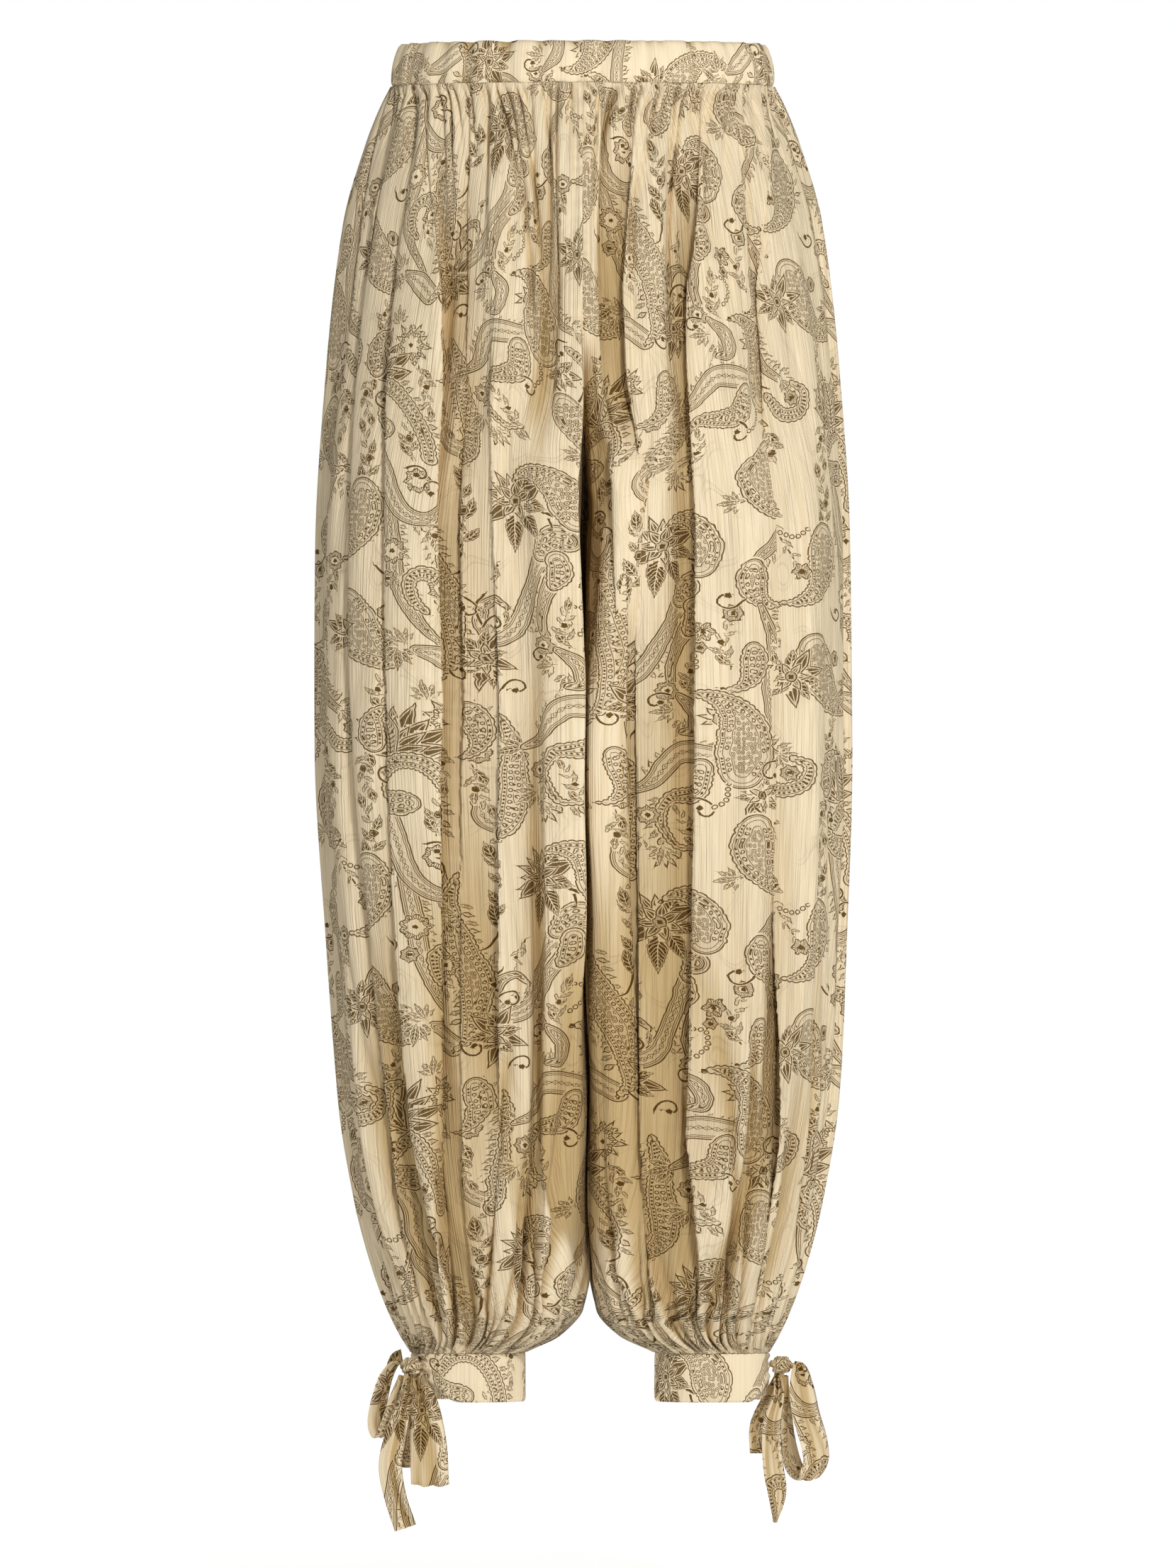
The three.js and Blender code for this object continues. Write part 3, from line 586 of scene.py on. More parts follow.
def body_values(body, spots):
    """Along, across and inwards from the outline at any spots, for one body."""
    if body["kind"] == ROSETTE:
        return rosette_values(body, spots)
    start = body["path"][:-1]
    step = np.diff(body["path"], axis=0)
    offset = spots[..., None, :] - start
    part = np.clip((offset * step).sum(-1) / (step ** 2).sum(-1), 0, 1)
    away = offset - part[..., None] * step
    distance = np.hypot(away[..., 0], away[..., 1])
    side = step[:, 0] * away[..., 1] - step[:, 1] * away[..., 0]
    inward = body["half"][:-1] + part * np.diff(body["half"]) - distance
    nearest = inward.argmax(-1)
    part, distance, inward, side = (np.take_along_axis(values, nearest[..., None], -1)[..., 0]
                                    for values in (part, distance, inward, side))
    along = body["at"][nearest] + part * np.diff(body["at"])[nearest]
    return np.stack([along, distance * np.sign(side), inward], -1)


def draw_repeat():
    """For each cell of the repeat, its two topmost bodies: their kinds, and along, across and
    inwards at the cell's four corners."""
    columns, rows = (int(round(size / PRINT_CELL)) for size in REPEAT)
    y, x = np.meshgrid(np.arange(rows), np.arange(columns), indexing="ij")
    corner = np.array([(0, 0), (1, 0), (0, 1), (1, 1)])
    spots = (np.stack([x, y], -1)[:, :, None] + corner) * PRINT_CELL
    kinds = np.zeros((2, rows, columns))
    reaches = np.full((2, rows, columns), NO_BODY)
    values = np.full((2, rows, columns, 4, 3), NO_BODY)
    shifts = [np.array([x, y]) * REPEAT for x in (-1, 0, 1) for y in (-1, 0, 1)]
    for body in chart():
        low, high = reach_of(body)
        for shift in shifts:
            first = np.maximum(((low + shift - PRINT_HALO) / PRINT_CELL).astype(int) - 1, 0)
            last = np.minimum(((high + shift + PRINT_HALO) / PRINT_CELL).astype(int) + 2, (columns, rows))
            if (first >= last).any():
                continue
            part = (slice(first[1], last[1]), slice(first[0], last[0]))
            found = body_values(body, spots[part] - shift)
            reach = found[..., 2].max(-1)
            inside = reach > -PRINT_HALO
            if body["kind"] in POINTED:
                found[..., 2] += abs(found[..., 1])
            # the body under this one is whichever of the two before reaches further into the cell
            lower = inside & (reaches[0][part] > np.minimum(reaches[1][part], 0.2))
            kind = np.full(inside.shape, float(body["kind"]))
            for layers, new in ((kinds, kind), (reaches, reach), (values, found)):
                layers[1][part][lower] = layers[0][part][lower]
                layers[0][part][inside] = new[inside]
    return kinds, values


PRINT_KINDS, PRINT_VALUES = draw_repeat()


def print_values(corner_spots):
    """The print's values at the corners of faces, from the repeat's cell under each face."""
    middle = corner_spots.mean(1)
    repeat = np.floor(middle / REPEAT)
    cell = np.floor((middle - repeat * REPEAT) / PRINT_CELL).astype(int)
    cell = np.minimum(cell, np.array(PRINT_KINDS.shape[:0:-1]) - 1)
    part = (corner_spots - (repeat * REPEAT + cell * PRINT_CELL)[:, None]) / PRINT_CELL
    x, y = part[..., :1], part[..., 1:]
    made = []
    for kinds, values in zip(PRINT_KINDS, PRINT_VALUES):
        near = values[cell[:, 1], cell[:, 0]][:, None]
        value = ((near[:, :, 0] * (1 - x) + near[:, :, 1] * x) * (1 - y)
                 + (near[:, :, 2] * (1 - x) + near[:, :, 3] * x) * y)
        kind = np.broadcast_to(kinds[cell[:, 1], cell[:, 0]][:, None, None], (*value.shape[:2], 1))
        made.append(np.concatenate([value, kind], -1))
    return made


# ---------------------------------------------------------------- meshes from grids of points


def grid_piece(name, points, cloth, material, node, print_at, print_way=1, ring=False, flip=False,
               grain=None, painted_shade=None):
    """A smooth piece from a grid of points [row, column], with the cloth's own flat
    coordinates [row, column] in millimetres. A ring's last column of points is its first.
    The cloth's origin lies at print_at in the print's repeat. The crinkles follow the cloth's
    coordinates, or those of grain. Where it is tucked behind a fold, from 0 to 1, its colour is darkened with
    painted shade."""
    rows, columns = points.shape[:2]
    vertex_columns = columns - 1 if ring else columns
    row, column = np.meshgrid(np.arange(rows - 1), np.arange(columns - 1), indexing="ij")
    corners = [(row, column), (row, column + 1), (row + 1, column + 1), (row + 1, column)]
    if flip:
        corners.reverse()
    vertex = np.stack([r * vertex_columns + c % vertex_columns for r, c in corners], -1).reshape(-1, 4)
    mesh = bpy.data.meshes.new(name)
    mesh.vertices.add(rows * vertex_columns)
    mesh.vertices.foreach_set("co", (points[:, :vertex_columns] * MM).astype(np.float32).ravel())
    mesh.loops.add(vertex.size)
    mesh.loops.foreach_set("vertex_index", vertex.astype(np.int32).ravel())
    mesh.polygons.add(len(vertex))
    mesh.polygons.foreach_set("loop_start", np.arange(0, vertex.size, 4, dtype=np.int32))
    mesh.polygons.foreach_set("use_smooth", np.ones(len(vertex), bool))
    mesh.update(calc_edges=True)
    mesh.validate()
    mesh.materials.append(material)
    corner_cloth = np.stack([cloth[r, c] for r, c in corners], -2).reshape(-1, 4, 2)
    add_map(mesh, "OFBake", (corner_cloth - cloth.min((0, 1))) / np.ptp(cloth, axis=(0, 1)))
    add_map(mesh, "Cloth", corner_cloth if grain is None else np.stack([grain[r, c] for r, c in corners], -2))
    top, under = print_values(corner_cloth * (print_way, 1) + print_at)
    if painted_shade is not None:
        top[..., 3] += PAINTED_SHADE_SHARE * np.stack([painted_shade[r, c] for r, c in corners], -1).reshape(-1, 4)
    for layer, value in (("Top", top), ("Under", under)):
        add_map(mesh, layer + "Place", value[..., :2])
        add_map(mesh, layer + "Kind", value[..., 2:])
    piece = bpy.data.objects.new(name, mesh)
    bpy.context.collection.objects.link(piece)
    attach(piece, "root")
    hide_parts(node)
    return piece


def add_map(mesh, name, values):
    """A pair of numbers at each corner of each face."""
    layer = mesh.uv_layers.new(name=name)
    layer.data.foreach_set("uv", np.ascontiguousarray(values, dtype=np.float32).ravel())


# ---------------------------------------------------------------- materials


class Field:
    """A number that a material's nodes work out, for use in formulas."""

    def __init__(self, tree, socket):
        self.tree = tree
        self.socket = socket

    def math(self, operation, *others, clamp=False):
        node = self.tree.nodes.new("ShaderNodeMath")
        node.operation = operation
        node.use_clamp = clamp
        for socket, value in zip(node.inputs, (self, *others)):
            put(self.tree, socket, value)
        return Field(self.tree, node.outputs[0])

    def __add__(self, other):
        return self.math("ADD", other)

    def __sub__(self, other):
        return self.math("SUBTRACT", other)

    def __mul__(self, other):
        return self.math("MULTIPLY", other)

    def __truediv__(self, other):
        return self.math("DIVIDE", other)

    def __rsub__(self, other):
        return self.math("MULTIPLY_ADD", -1.0, other)

    __radd__ = __add__
    __rmul__ = __mul__

    def __abs__(self):
        return self.math("ABSOLUTE")

    def part(self):
        """What is left of the whole number below."""
        return self.math("FRACT")

    def most(self, other):
        return self.math("MAXIMUM", other)

    def above(self, edge, soft=0.3):
        """1 past an edge and 0 before it."""
        return self.math("MULTIPLY_ADD", 1 / soft, 0.5 - edge / soft, clamp=True)

    def line(self, centre, width, soft=0.3):
        """1 within a line of some width round a value."""
        return abs(self - centre).math("MULTIPLY_ADD", -1 / soft, (width + soft) / (2 * soft), clamp=True)

    def is_kind(self, kind):
        return self.math("COMPARE", float(kind), 0.5)


def put(tree, socket, value):
    if isinstance(value, Field):
        tree.links.new(value.socket, socket)
    else:
        socket.default_value = value


def add_node(tree, kind, settings, values, output=0):
    """Any node: its settings first, then its sockets, by name or number."""
    node = tree.nodes.new(kind)
    for name, value in settings.items():
        setattr(node, name, value)
    for name, value in values.items():
        put(tree, node.inputs[name], value)
    return Field(tree, node.outputs[output])


def map_pair(tree, name):
    """The two numbers that a mesh's map holds."""
    place = add_node(tree, "ShaderNodeUVMap", {"uv_map": name}, {})
    return tuple(add_node(tree, "ShaderNodeSeparateXYZ", {}, {0: place}, axis) for axis in (0, 1))


def noise(tree, x, y, detail=2.0, rough=0.5):
    """Noise over two numbers, from 0 to 1."""
    place = add_node(tree, "ShaderNodeCombineXYZ", {}, {0: x, 1: y})
    return add_node(tree, "ShaderNodeTexNoise", {"noise_dimensions": "2D"},
                    {"Vector": place, "Scale": 1.0, "Detail": detail, "Roughness": rough})


def florets(tree, x, y):
    """Small ringed flowers, scattered."""
    place = add_node(tree, "ShaderNodeCombineXYZ", {}, {0: x, 1: y})
    away = add_node(tree, "ShaderNodeTexVoronoi", {"voronoi_dimensions": "2D"},
                    {"Vector": place, "Scale": 0.27, "Randomness": 0.6}, "Distance")
    ring = away.line(0.36, 0.14, 0.08)
    return ring.most(1 - away.above(0.14, 0.08))


def saw(value, pitch):
    """Where a number lies between two steps, from -0.5 to 0.5."""
    return (value / pitch).part() - 0.5


def dots(along, across, pitch, radius):
    """A row of round dots along a line."""
    x = saw(along, pitch) * pitch
    return 1 - (x * x + across * across).math("SQRT").above(radius)


# What is drawn inside each kind of body, from 0 for bare cloth to 1 for ink. Each is worked out
# from how far a spot is along the spine, across from it and inwards from the outline, all in
# millimetres. Bare cloth inside a body keeps a faint tone.
FAINT = 0.1


def ribbon_ink(along, across, inwards):
    """Two lines along each edge, and a chain down the middle with a dot in and between its links."""
    link = 5.6
    chain = (abs(across) + abs(saw(along, link)) * link * 0.5).line(1.5, 0.5)
    chain = chain.most(dots(along, across, link, 0.5)).most(dots(along + link / 2, across, link, 0.5))
    lines = inwards.line(1.9, 0.5).most(inwards.line(3.1, 0.5))
    return lines.most(chain * inwards.above(3.5)).most(FAINT)


def boteh_ink(along, inwards, filler):
    """Rows of dots and rings inside a lobed outline, and flowers in the middle."""
    scallop = saw(along, 4.4) * 2.8
    lobed = inwards + scallop * scallop * -0.5
    dotted = dots(along, inwards - 4.1, 2.9, 0.8)
    ringed = dots(along, inwards - 7.6, 4.6, 1.5) - dots(along, inwards - 7.6, 4.6, 0.8)
    inked = lobed.line(0.45, 1.0).most(dotted).most(ringed).most(filler * inwards.above(10.4))
    for place in (2.7, 5.4, 9.8):
        inked = inked.most(inwards.line(place, 0.5))
    return inked.most(FAINT) * lobed.above(0)


def leaf_ink(along, across, inwards):
    """A serrated leaf, dark but for its veins."""
    veins = 1 - ((along - abs(across) * 0.9) / 2.9).part().line(0.5, 0.2, 0.1)
    serrated = inwards - abs(saw(along, 3.4)) * 1.1
    inked = (serrated.above(0.9) * midrib(across) * veins).most(serrated.line(0.3, 0.6))
    return inked * serrated.above(0)


def feather_ink(along, across, inwards):
    """Slanting barbs inside one line, on both sides of a shaft."""
    barbs = ((along - abs(across) * 0.8) / 3.4).part().line(0.5, 0.3, 0.15) * inwards.above(2.6)
    return barbs.most(inwards.line(2.1, 0.5)).most(across.line(0, 0.9)).most(0.16)


def rosette_ink(along, across, inwards):
    """Ticks round the rim, a ring and a full middle."""
    ticks = along.part().line(0.5, 0.4, 0.2) * inwards.above(0.9) * (1 - inwards.above(3.2))
    return ticks.most(inwards.line(3.4, 0.7)).most(1 - abs(across).above(1.9))


def midrib(across):
    """0 on a thin line down the middle, and 1 beside it."""
    return 1 - across.line(0, 0.6)


def ink_of(along, across, inwards, kind, filler):
    """How much ink one layer of the print puts on the cloth."""
    outline = inwards.line(0.45, 0.95)
    petal_ink = (inwards.above(1.7) * midrib(across) * 0.95).most(FAINT)
    inked = 0.0
    for number, pattern in (
        (RIBBON, ribbon_ink(along, across, inwards).most(outline)),
        (BOTEH, boteh_ink(along, inwards, filler)),
        (PETAL, petal_ink.most(outline)),
        (STEM, 1.0),
        (FEATHER, feather_ink(along, across, inwards).most(outline)),
        (ROSETTE, rosette_ink(along, across, inwards).most(outline)),
        (LEAF, leaf_ink(along, across, inwards)),
        (BEADS, dots(along, across, 4.2, 1.85) - dots(along, across, 4.2, 1.1)),
    ):
        inked = kind.is_kind(number) * pattern + inked
    return inked * inwards.above(0)


def mix_colour(tree, part, low, high, blend="MIX"):
    return add_node(tree, "ShaderNodeMix", {"data_type": "RGBA", "blend_type": blend},
                    {0: part, 6: low, 7: high}, 2)


def srgb(*levels):
    """A colour from its three levels out of 255."""
    return tuple((level / 255 / 12.92 if level <= 10 else ((level / 255 + 0.055) / 1.055) ** 2.4)
                 for level in levels) + (1.0,)


GROUND = srgb(236, 219, 187)
# the ground in painted shade, for the crinkles' hollows
GROUND_SHADED = srgb(219, 198, 158)
# painted shade: a tint multiplied into cloth tucked behind folds, in creases and between the legs
PAINTED_SHADE_TINT = srgb(214, 200, 172)
INK = srgb(80, 54, 14)
INK_THIN = srgb(112, 84, 36)


def show_through(tree, u, v):
    """Faint patches of lines, as the far layer's print shows through this one."""
    bent = noise(tree, u / 36.0 + 5.0, v / 52.0, 0.5)
    lines = bent.line(0.42, 0.016, 0.012).most(bent.line(0.47, 0.016, 0.012))
    tone = bent.line(0.445, 0.012, 0.05) * 0.4
    return lines.most(tone) * noise(tree, u / 60.0, v / 60.0 + 9.0, 0.0).above(0.5, 0.15)


def printed_ink(tree, u, v):
    """The ink of the print's two layers, and the painted shade where the cloth is tucked in."""
    # the print wanders a little, as on crinkled cloth
    wander = noise(tree, u / 7.0, v / 7.0) - 0.5
    drift = noise(tree, u / 9.0 + 40.0, v / 9.0) - 0.5
    filler = florets(tree, u, v)
    inks = []
    depths = []
    kinds = []
    for layer in ("Top", "Under"):
        along, across = map_pair(tree, layer + "Place")
        inwards, kind = map_pair(tree, layer + "Kind")
        inwards = inwards - abs(across) * sum((kind.is_kind(pointed) for pointed in POINTED), 0.0)
        inks.append(ink_of(along + drift * 0.8, across + wander * 0.5, inwards + drift * 0.3, kind, filler))
        depths.append(inwards)
        kinds.append(kind)
    return inks[0] + inks[1] * (1 - depths[0].above(-0.45)), kinds[0].part() / PAINTED_SHADE_SHARE


def chiffon(name, crinkle, crease_pitch, crinkle_shade, sheer):
    """Printed crinkle chiffon: the height and pitch of its crinkles in millimetres, how much painted
    shade darkens its ground in the crinkles' hollows, and how much the far layer's print shows through."""
    material = bpy.data.materials.new(name)
    material.use_nodes = True
    tree = material.node_tree
    shader = tree.nodes["Principled BSDF"]
    u, v = map_pair(tree, "Cloth")
    # crinkles are long and narrow, and run down the cloth
    fine = noise(tree, u / crease_pitch, v / 95.0, 1.5, 0.6)
    broad = noise(tree, u / (crease_pitch * 2.7), v / 300.0, 1.0)
    patchy = noise(tree, u / 2.2 + 7.0, v / 3.5, 1.0)
    inked, painted_shade = printed_ink(tree, u, v)
    # painted shade: the ground is darker in the crinkles' hollows, where the bump sinks
    ground = mix_colour(tree, fine.above(0.46, 0.24) * crinkle_shade + (1 - crinkle_shade), GROUND_SHADED, GROUND)
    ink = mix_colour(tree, patchy, INK, INK_THIN)
    through = show_through(tree, u, v) * (1 - inked) * sheer
    printed = mix_colour(tree, inked * 0.97 + through, ground, ink)
    # painted shade: the colour is darkened where the cloth is tucked in, in folds, creases and between the
    # legs
    shaded_colour = mix_colour(tree, painted_shade, printed, PAINTED_SHADE_TINT, "MULTIPLY")
    tree.links.new(shaded_colour.socket, shader.inputs["Base Color"])
    bump = add_node(tree, "ShaderNodeBump", {}, {
        "Strength": 1.0, "Distance": crinkle * MM, "Height": fine * 0.8 + broad * 0.2,
    })
    tree.links.new(bump.socket, shader.inputs["Normal"])
    shader.inputs["Roughness"].default_value = 0.88
    shader.inputs["Sheen Weight"].default_value = 0.02
    shader.inputs["Specular IOR Level"].default_value = 0.0
    return material


CHIFFON = chiffon("chiffon", crinkle=1.9, crease_pitch=1.35, crinkle_shade=0.6, sheer=0.16)
BAND_CHIFFON = chiffon("band_chiffon", crinkle=0.8, crease_pitch=2.2, crinkle_shade=0.25, sheer=0.08)
TIE_CHIFFON = chiffon("tie_chiffon", crinkle=1.2, crease_pitch=1.8, crinkle_shade=0.4, sheer=0.08)

# ---------------------------------------------------------------- leg panels


def section_at(z):
    """The sizes of a leg's section at one height."""
    return {key: float(between_rows(np.array([z]), SECTIONS["z"], values)[0])
            for key, values in SECTIONS.items()}


def crest_line(section, depth):
    """Where the crests of one panel's folds lie, from its side seam to its centre seam."""
    leg_centre = (section["side"] + section["inner"]) / 2
    leg_half = (section["side"] - section["inner"]) / 2
    body = superellipse(0, section["side"], depth, BODY_POWER, math.pi / 2, CREST_STEPS)
    leg = superellipse(leg_centre, leg_half, depth, LEG_POWER, math.pi, CREST_STEPS, section["square"])
    blend = evenly(body, CREST_STEPS) * (1 - section["legs"]) + evenly(leg, CREST_STEPS) * section["legs"]
    blend[:, 1] *= depth / blend[:, 1].max()
    return evenly(blend, CREST_STEPS)


def make_gathers(dice, seam):
    """The small folds at one seam of one panel, as arrays over its folds."""
    count = seam["count"]
    length = seam["shortest"] * (seam["longest"] / seam["shortest"]) ** dice.random(count)
    return {
        "z": seam["z"],
        "place": (np.arange(count) + 0.5 + 0.35 * dice.uniform(-1, 1, count)) / count,
        "width": (0.15 + 0.16 * dice.random(count)) / count,
        "depth": seam["depth"] * (0.45 + 0.55 * dice.random(count)),
        "length": length,
        "drift": dice.uniform(-1, 1, count) * 1.3 / count / 100,
    }


def gather_sink(gathers, share, z):
    away = abs(z - gathers["z"])
    place = gathers["place"] + gathers["drift"] * away
    # the stitches hold the cloth to the seam, and each fold deepens a little way off it
    held = 0.18 + 0.82 * smoothstep(away, 0, SEAM_HOLD)
    fade = np.exp(-((away / gathers["length"]) ** 1.6)) * held
    spread = gathers["width"] * (1 + 0.7 * away / gathers["length"])
    across = (share[:, None] - place) / spread
    return (gathers["depth"] * fade * np.exp(-abs(across) ** 1.35)).sum(1)


def make_ripples(dice):
    """Soft shallow waves that run down the cloth between its large folds."""
    count = RIPPLES["count"]
    lengths = np.linspace(RIPPLES["shortest"], RIPPLES["longest"], count)
    depths = np.linspace(RIPPLES["shallowest"], RIPPLES["deepest"], count)
    return {
        "length": dice.uniform(0.85, 1.15, count) * lengths,
        "depth": dice.uniform(0.5, 1, count) * depths,
        "phase": dice.uniform(0, 2 * math.pi, count),
        "lean": dice.uniform(-0.035, 0.035, count),
        "sway": dice.uniform(0.5, 2.2, count),
        "turn": dice.uniform(120, 340, count),
    }


def ripple_sink(ripples, along, z):
    lean = ripples["lean"] * z + ripples["sway"] * 4 * np.sin(z / ripples["turn"] + ripples["phase"])
    angle = 2 * math.pi * (along[:, None] + lean) / ripples["length"] + ripples["phase"]
    return (ripples["depth"] * (1 + np.sin(angle)) / 2).sum(1)


def fold_bottoms(folds, section, line, at, z):
    """How far along the crest line the bottom of each large fold lies."""
    heights = [-level for level in FOLD_LEVELS.values()]
    shares = np.array([folds[level] for level in FOLD_LEVELS]).T
    place = np.array([np.interp(-z, heights, row) for row in shares])
    across = section["inner"] + (section["side"] - section["inner"]) * place
    return at[[int(np.argmax(line[:, 0] <= x)) for x in across]]


def fold_offsets(folds, bottoms, along, total):
    """How far the folds sink the cloth under its crest line, and how far they draw it along."""
    sink = np.zeros_like(along)
    lap = np.zeros_like(along)
    for depth, side_run, centre_run, bottom in zip(
            folds["depth"], folds["side_run"], folds["centre_run"], bottoms):
        away = along - bottom
        sink += FOLD_DEEPER * depth * np.exp(-((away / np.where(away < 0, side_run, centre_run)) ** 2))
        # the edge on the steeper side is drawn over the fold
        steep = min(side_run, centre_run)
        towards = 1 if side_run < centre_run else -1
        edge = bottom - towards * 1.3 * steep
        push = FOLD_LAP * depth + 0.45 * steep
        lap += towards * push * np.exp(-(((along - edge) / (0.68 * steep)) ** 2))
    fade = smoothstep(np.minimum(along, total - along), 0, FOLD_FADE)
    return fade * np.minimum(sink, FOLD_LIMIT), fade * lap


def centre_sink(x, z, fold_reach):
    """The seam down the middle with its small puckers, and the fold that starts under it."""
    seam = 1 - smoothstep(-z, CENTRE_SEAM["end"] - 20, CENTRE_SEAM["end"])
    pucker = CENTRE_SEAM["pucker"] * (1 + math.sin(z / 1.7 + 2 * math.sin(z / 11))) * np.exp(-((x / 8) ** 2))
    groove = CENTRE_SEAM["groove"] * np.exp(-((x / 2.4) ** 2))
    fold = smoothstep(-z, CENTRE_SEAM["end"] - 30, CENTRE_SEAM["end"] + 30) * (1 - smoothstep(-z, 350, 520))
    return seam * (pucker + groove) + CENTRE_SEAM["fold"] * fold * np.exp(-((x / fold_reach) ** 2))


def flap_share(z):
    """How fully the centre flap covers the valley between the legs at one height."""
    return (smoothstep(-z, CENTRE_FLAP["from"], CENTRE_FLAP["full"])
            * (1 - smoothstep(-z, CENTRE_FLAP["fades"], CENTRE_FLAP["to"])))


def under_body(spot, side, depth):
    """How far cloth near the centre lies under the body's own outline."""
    outline = depth * (1 - np.minimum(spot[:, 0] / side, 1) ** BODY_POWER) ** (1 / BODY_POWER)
    return np.maximum(outline - spot[:, 1], 0) * (1 - smoothstep(spot[:, 0], 30, 60))


def grain_across(spot, side, depth):
    """A coordinate across the panel that stays the same along a crinkle."""
    turn = np.arctan2(spot[:, 1] / depth, np.maximum(spot[:, 0], 0) / side)
    inner_wall = (depth - spot[:, 1]) * (1 - smoothstep(spot[:, 0], 2, 14))
    return PANEL_CUT["width"] * turn / (math.pi / 2) + 0.6 * inner_wall


def panel_rows(depth_column):
    """Heights of the rows, at even steps along the cloth, and how long the cloth is."""
    z = np.linspace(SECTIONS["z"][0], SECTIONS["z"][-1], 2000)
    depth = between_rows(z, SECTIONS["z"], SECTIONS[depth_column])
    along = travelled(np.stack([depth, z], 1))
    return np.interp(np.linspace(0, along[-1], PANEL_CUT["rows"] + 1), along, z), along[-1]


def make_panel(name, leftward, forward, seed):
    """All that sets one leg panel apart."""
    dice = np.random.default_rng(seed)
    return {
        "name": name,
        "leftward": leftward,
        "forward": forward,
        "depth_column": "front" if forward > 0 else "back",
        "folds": FOLDS[name],
        "waist_gathers": make_gathers(dice, GATHERS["waist"]),
        "ankle_gathers": make_gathers(dice, GATHERS["ankle"]),
        "ripples": make_ripples(dice),
    }


def panel_row(panel, z):
    """One row of a panel's points, and for each its place across the crinkles and the painted
    shade it gets where it is tucked in."""
    leftward, forward = panel["leftward"], panel["forward"]
    section = section_at(z)
    depth = section[panel["depth_column"]]
    line = crest_line(section, depth)
    at = travelled(line)
    total = at[-1]
    share = np.linspace(0, 1, PROFILE_STEPS + 1)
    part = share + section["crowd"] * share * (1 - share)
    along = part * total
    bottoms = fold_bottoms(panel["folds"], section, line, at, z)
    sink, lap = fold_offsets(panel["folds"], bottoms, along, total)
    sink = sink * section["folds"]
    lap = lap * section["folds"]
    small = gather_sink(panel["waist_gathers"], share, z) + gather_sink(panel["ankle_gathers"], share, z)
    held = smoothstep(np.minimum(along, total - along), 0, SEAM_HOLD)
    small = small * held + ripple_sink(panel["ripples"], along, z) * section["folds"] * held
    spot = columns_at(np.clip(along + lap, 0, total), at, line)

    # the valley between the legs is filled, a little less on the panel that the flap laps over
    flap = flap_share(z) if forward > 0 else 0
    filled = smoothstep(spot[:, 0], 0, 4)
    if leftward > 0:
        filled = 0.7 * filled + 0.3 * smoothstep(spot[:, 0], 5, 15)
    spot[:, 1] += flap * under_body(spot, section["side"], depth) * filled

    normal = columns_at(part * CREST_STEPS, np.arange(CREST_STEPS + 1), outward_normals(line))
    free = 1 - section["legs"] * (1 - smoothstep(spot[:, 0], PRESSED["from"], PRESSED["to"]))
    profile = spot - normal * ((sink + small) * free)[:, None]
    fold_reach = 1.6 if flap and leftward < 0 else 7
    profile[:, 1] -= centre_sink(spot[:, 0], z, fold_reach) * smoothstep(spot[:, 1], 10, 70)
    profile = np.maximum(profile, PRESSED["least"])
    pressed = section["legs"] * (1 - smoothstep(profile[:, 0], PRESSED["from"], PRESSED["to"]))
    wave = PRESSED["wave"] * math.sin(z / 63) * np.cos(profile[:, 1] * forward / 17 + z / 90)
    profile[:, 0] += pressed * (leftward * wave - 0.2)

    # how far the cloth lies behind a fold, between the legs or in the gathers over a cuff, which sets its
    # painted shade
    between_legs = under_body(profile, section["side"], depth) * (1 - smoothstep(-z, 800, 940))
    hidden = np.maximum(sink, between_legs) + (0.7 + smoothstep(-z, 450, 800)) * small
    if leftward < 0:
        at_front = smoothstep(profile[:, 1], depth - 26, depth - 4)
        near_centre = np.exp(-((profile[:, 0] / CENTRE_FLAP["lap_reach"]) ** 2))
        profile[:, 0] -= CENTRE_FLAP["lap"] * flap * at_front * near_centre

    at_profile = travelled(profile)
    even = np.linspace(0, at_profile[-1], PANEL_CUT["columns"] + 1)
    grain = np.interp(even, at_profile, grain_across(spot, section["side"], depth))
    # painted shade, from how far the cloth is tucked in
    painted_shade = np.interp(even, at_profile, smoothstep(hidden / PAINTED_SHADE_DEPTH, 0.5, 1.2))
    profile = columns_at(even, at_profile, profile)
    x = leftward * profile[:, 0] + section["swing"]
    return np.stack([x, -forward * profile[:, 1], np.full(len(x), z)], 1), grain, painted_shade


def leg_panel(name, leftward, forward, seed):
    panel = make_panel(name, leftward, forward, seed)
    heights, length = panel_rows(panel["depth_column"])
    points, grain, painted_shade = (np.array(rows) for rows in zip(*[panel_row(panel, z) for z in heights]))
    across = np.linspace(0, PANEL_CUT["width"], PANEL_CUT["columns"] + 1)
    down = np.linspace(0, length, PANEL_CUT["rows"] + 1)
    cloth = np.stack(np.meshgrid(across, down, indexing="xy"), -1)
    print_way = -leftward * forward
    lotus_x, lotus_z = LOTUS_ON_PANEL[name]
    beside = np.hypot(points[..., 0] - lotus_x, points[..., 2] - lotus_z)
    print_at = LOTUS - cloth.reshape(-1, 2)[beside.argmin()] * (print_way, 1)
    piece = grid_piece(name + "_cloth", points, cloth, CHIFFON, name, print_at, print_way,
                       flip=leftward * forward > 0, grain=np.stack([grain, cloth[..., 1]], -1), painted_shade=painted_shade)


# ---------------------------------------------------------------- waistband

# Folds that the elastic draws the band into, how the casing bulges between its two edges, how
# much the edges are rounded, how far the upper one dips at a fold, and how long and high the
# casing's cloth is cut.
BAND = {
    "columns": 480, "rows": 14, "folds": 46, "fold_depth": 5.2, "bulge": 2.2, "rounded": 1.3, "dip": 0.14,
    "cut": 980, "cut_high": 68,
}


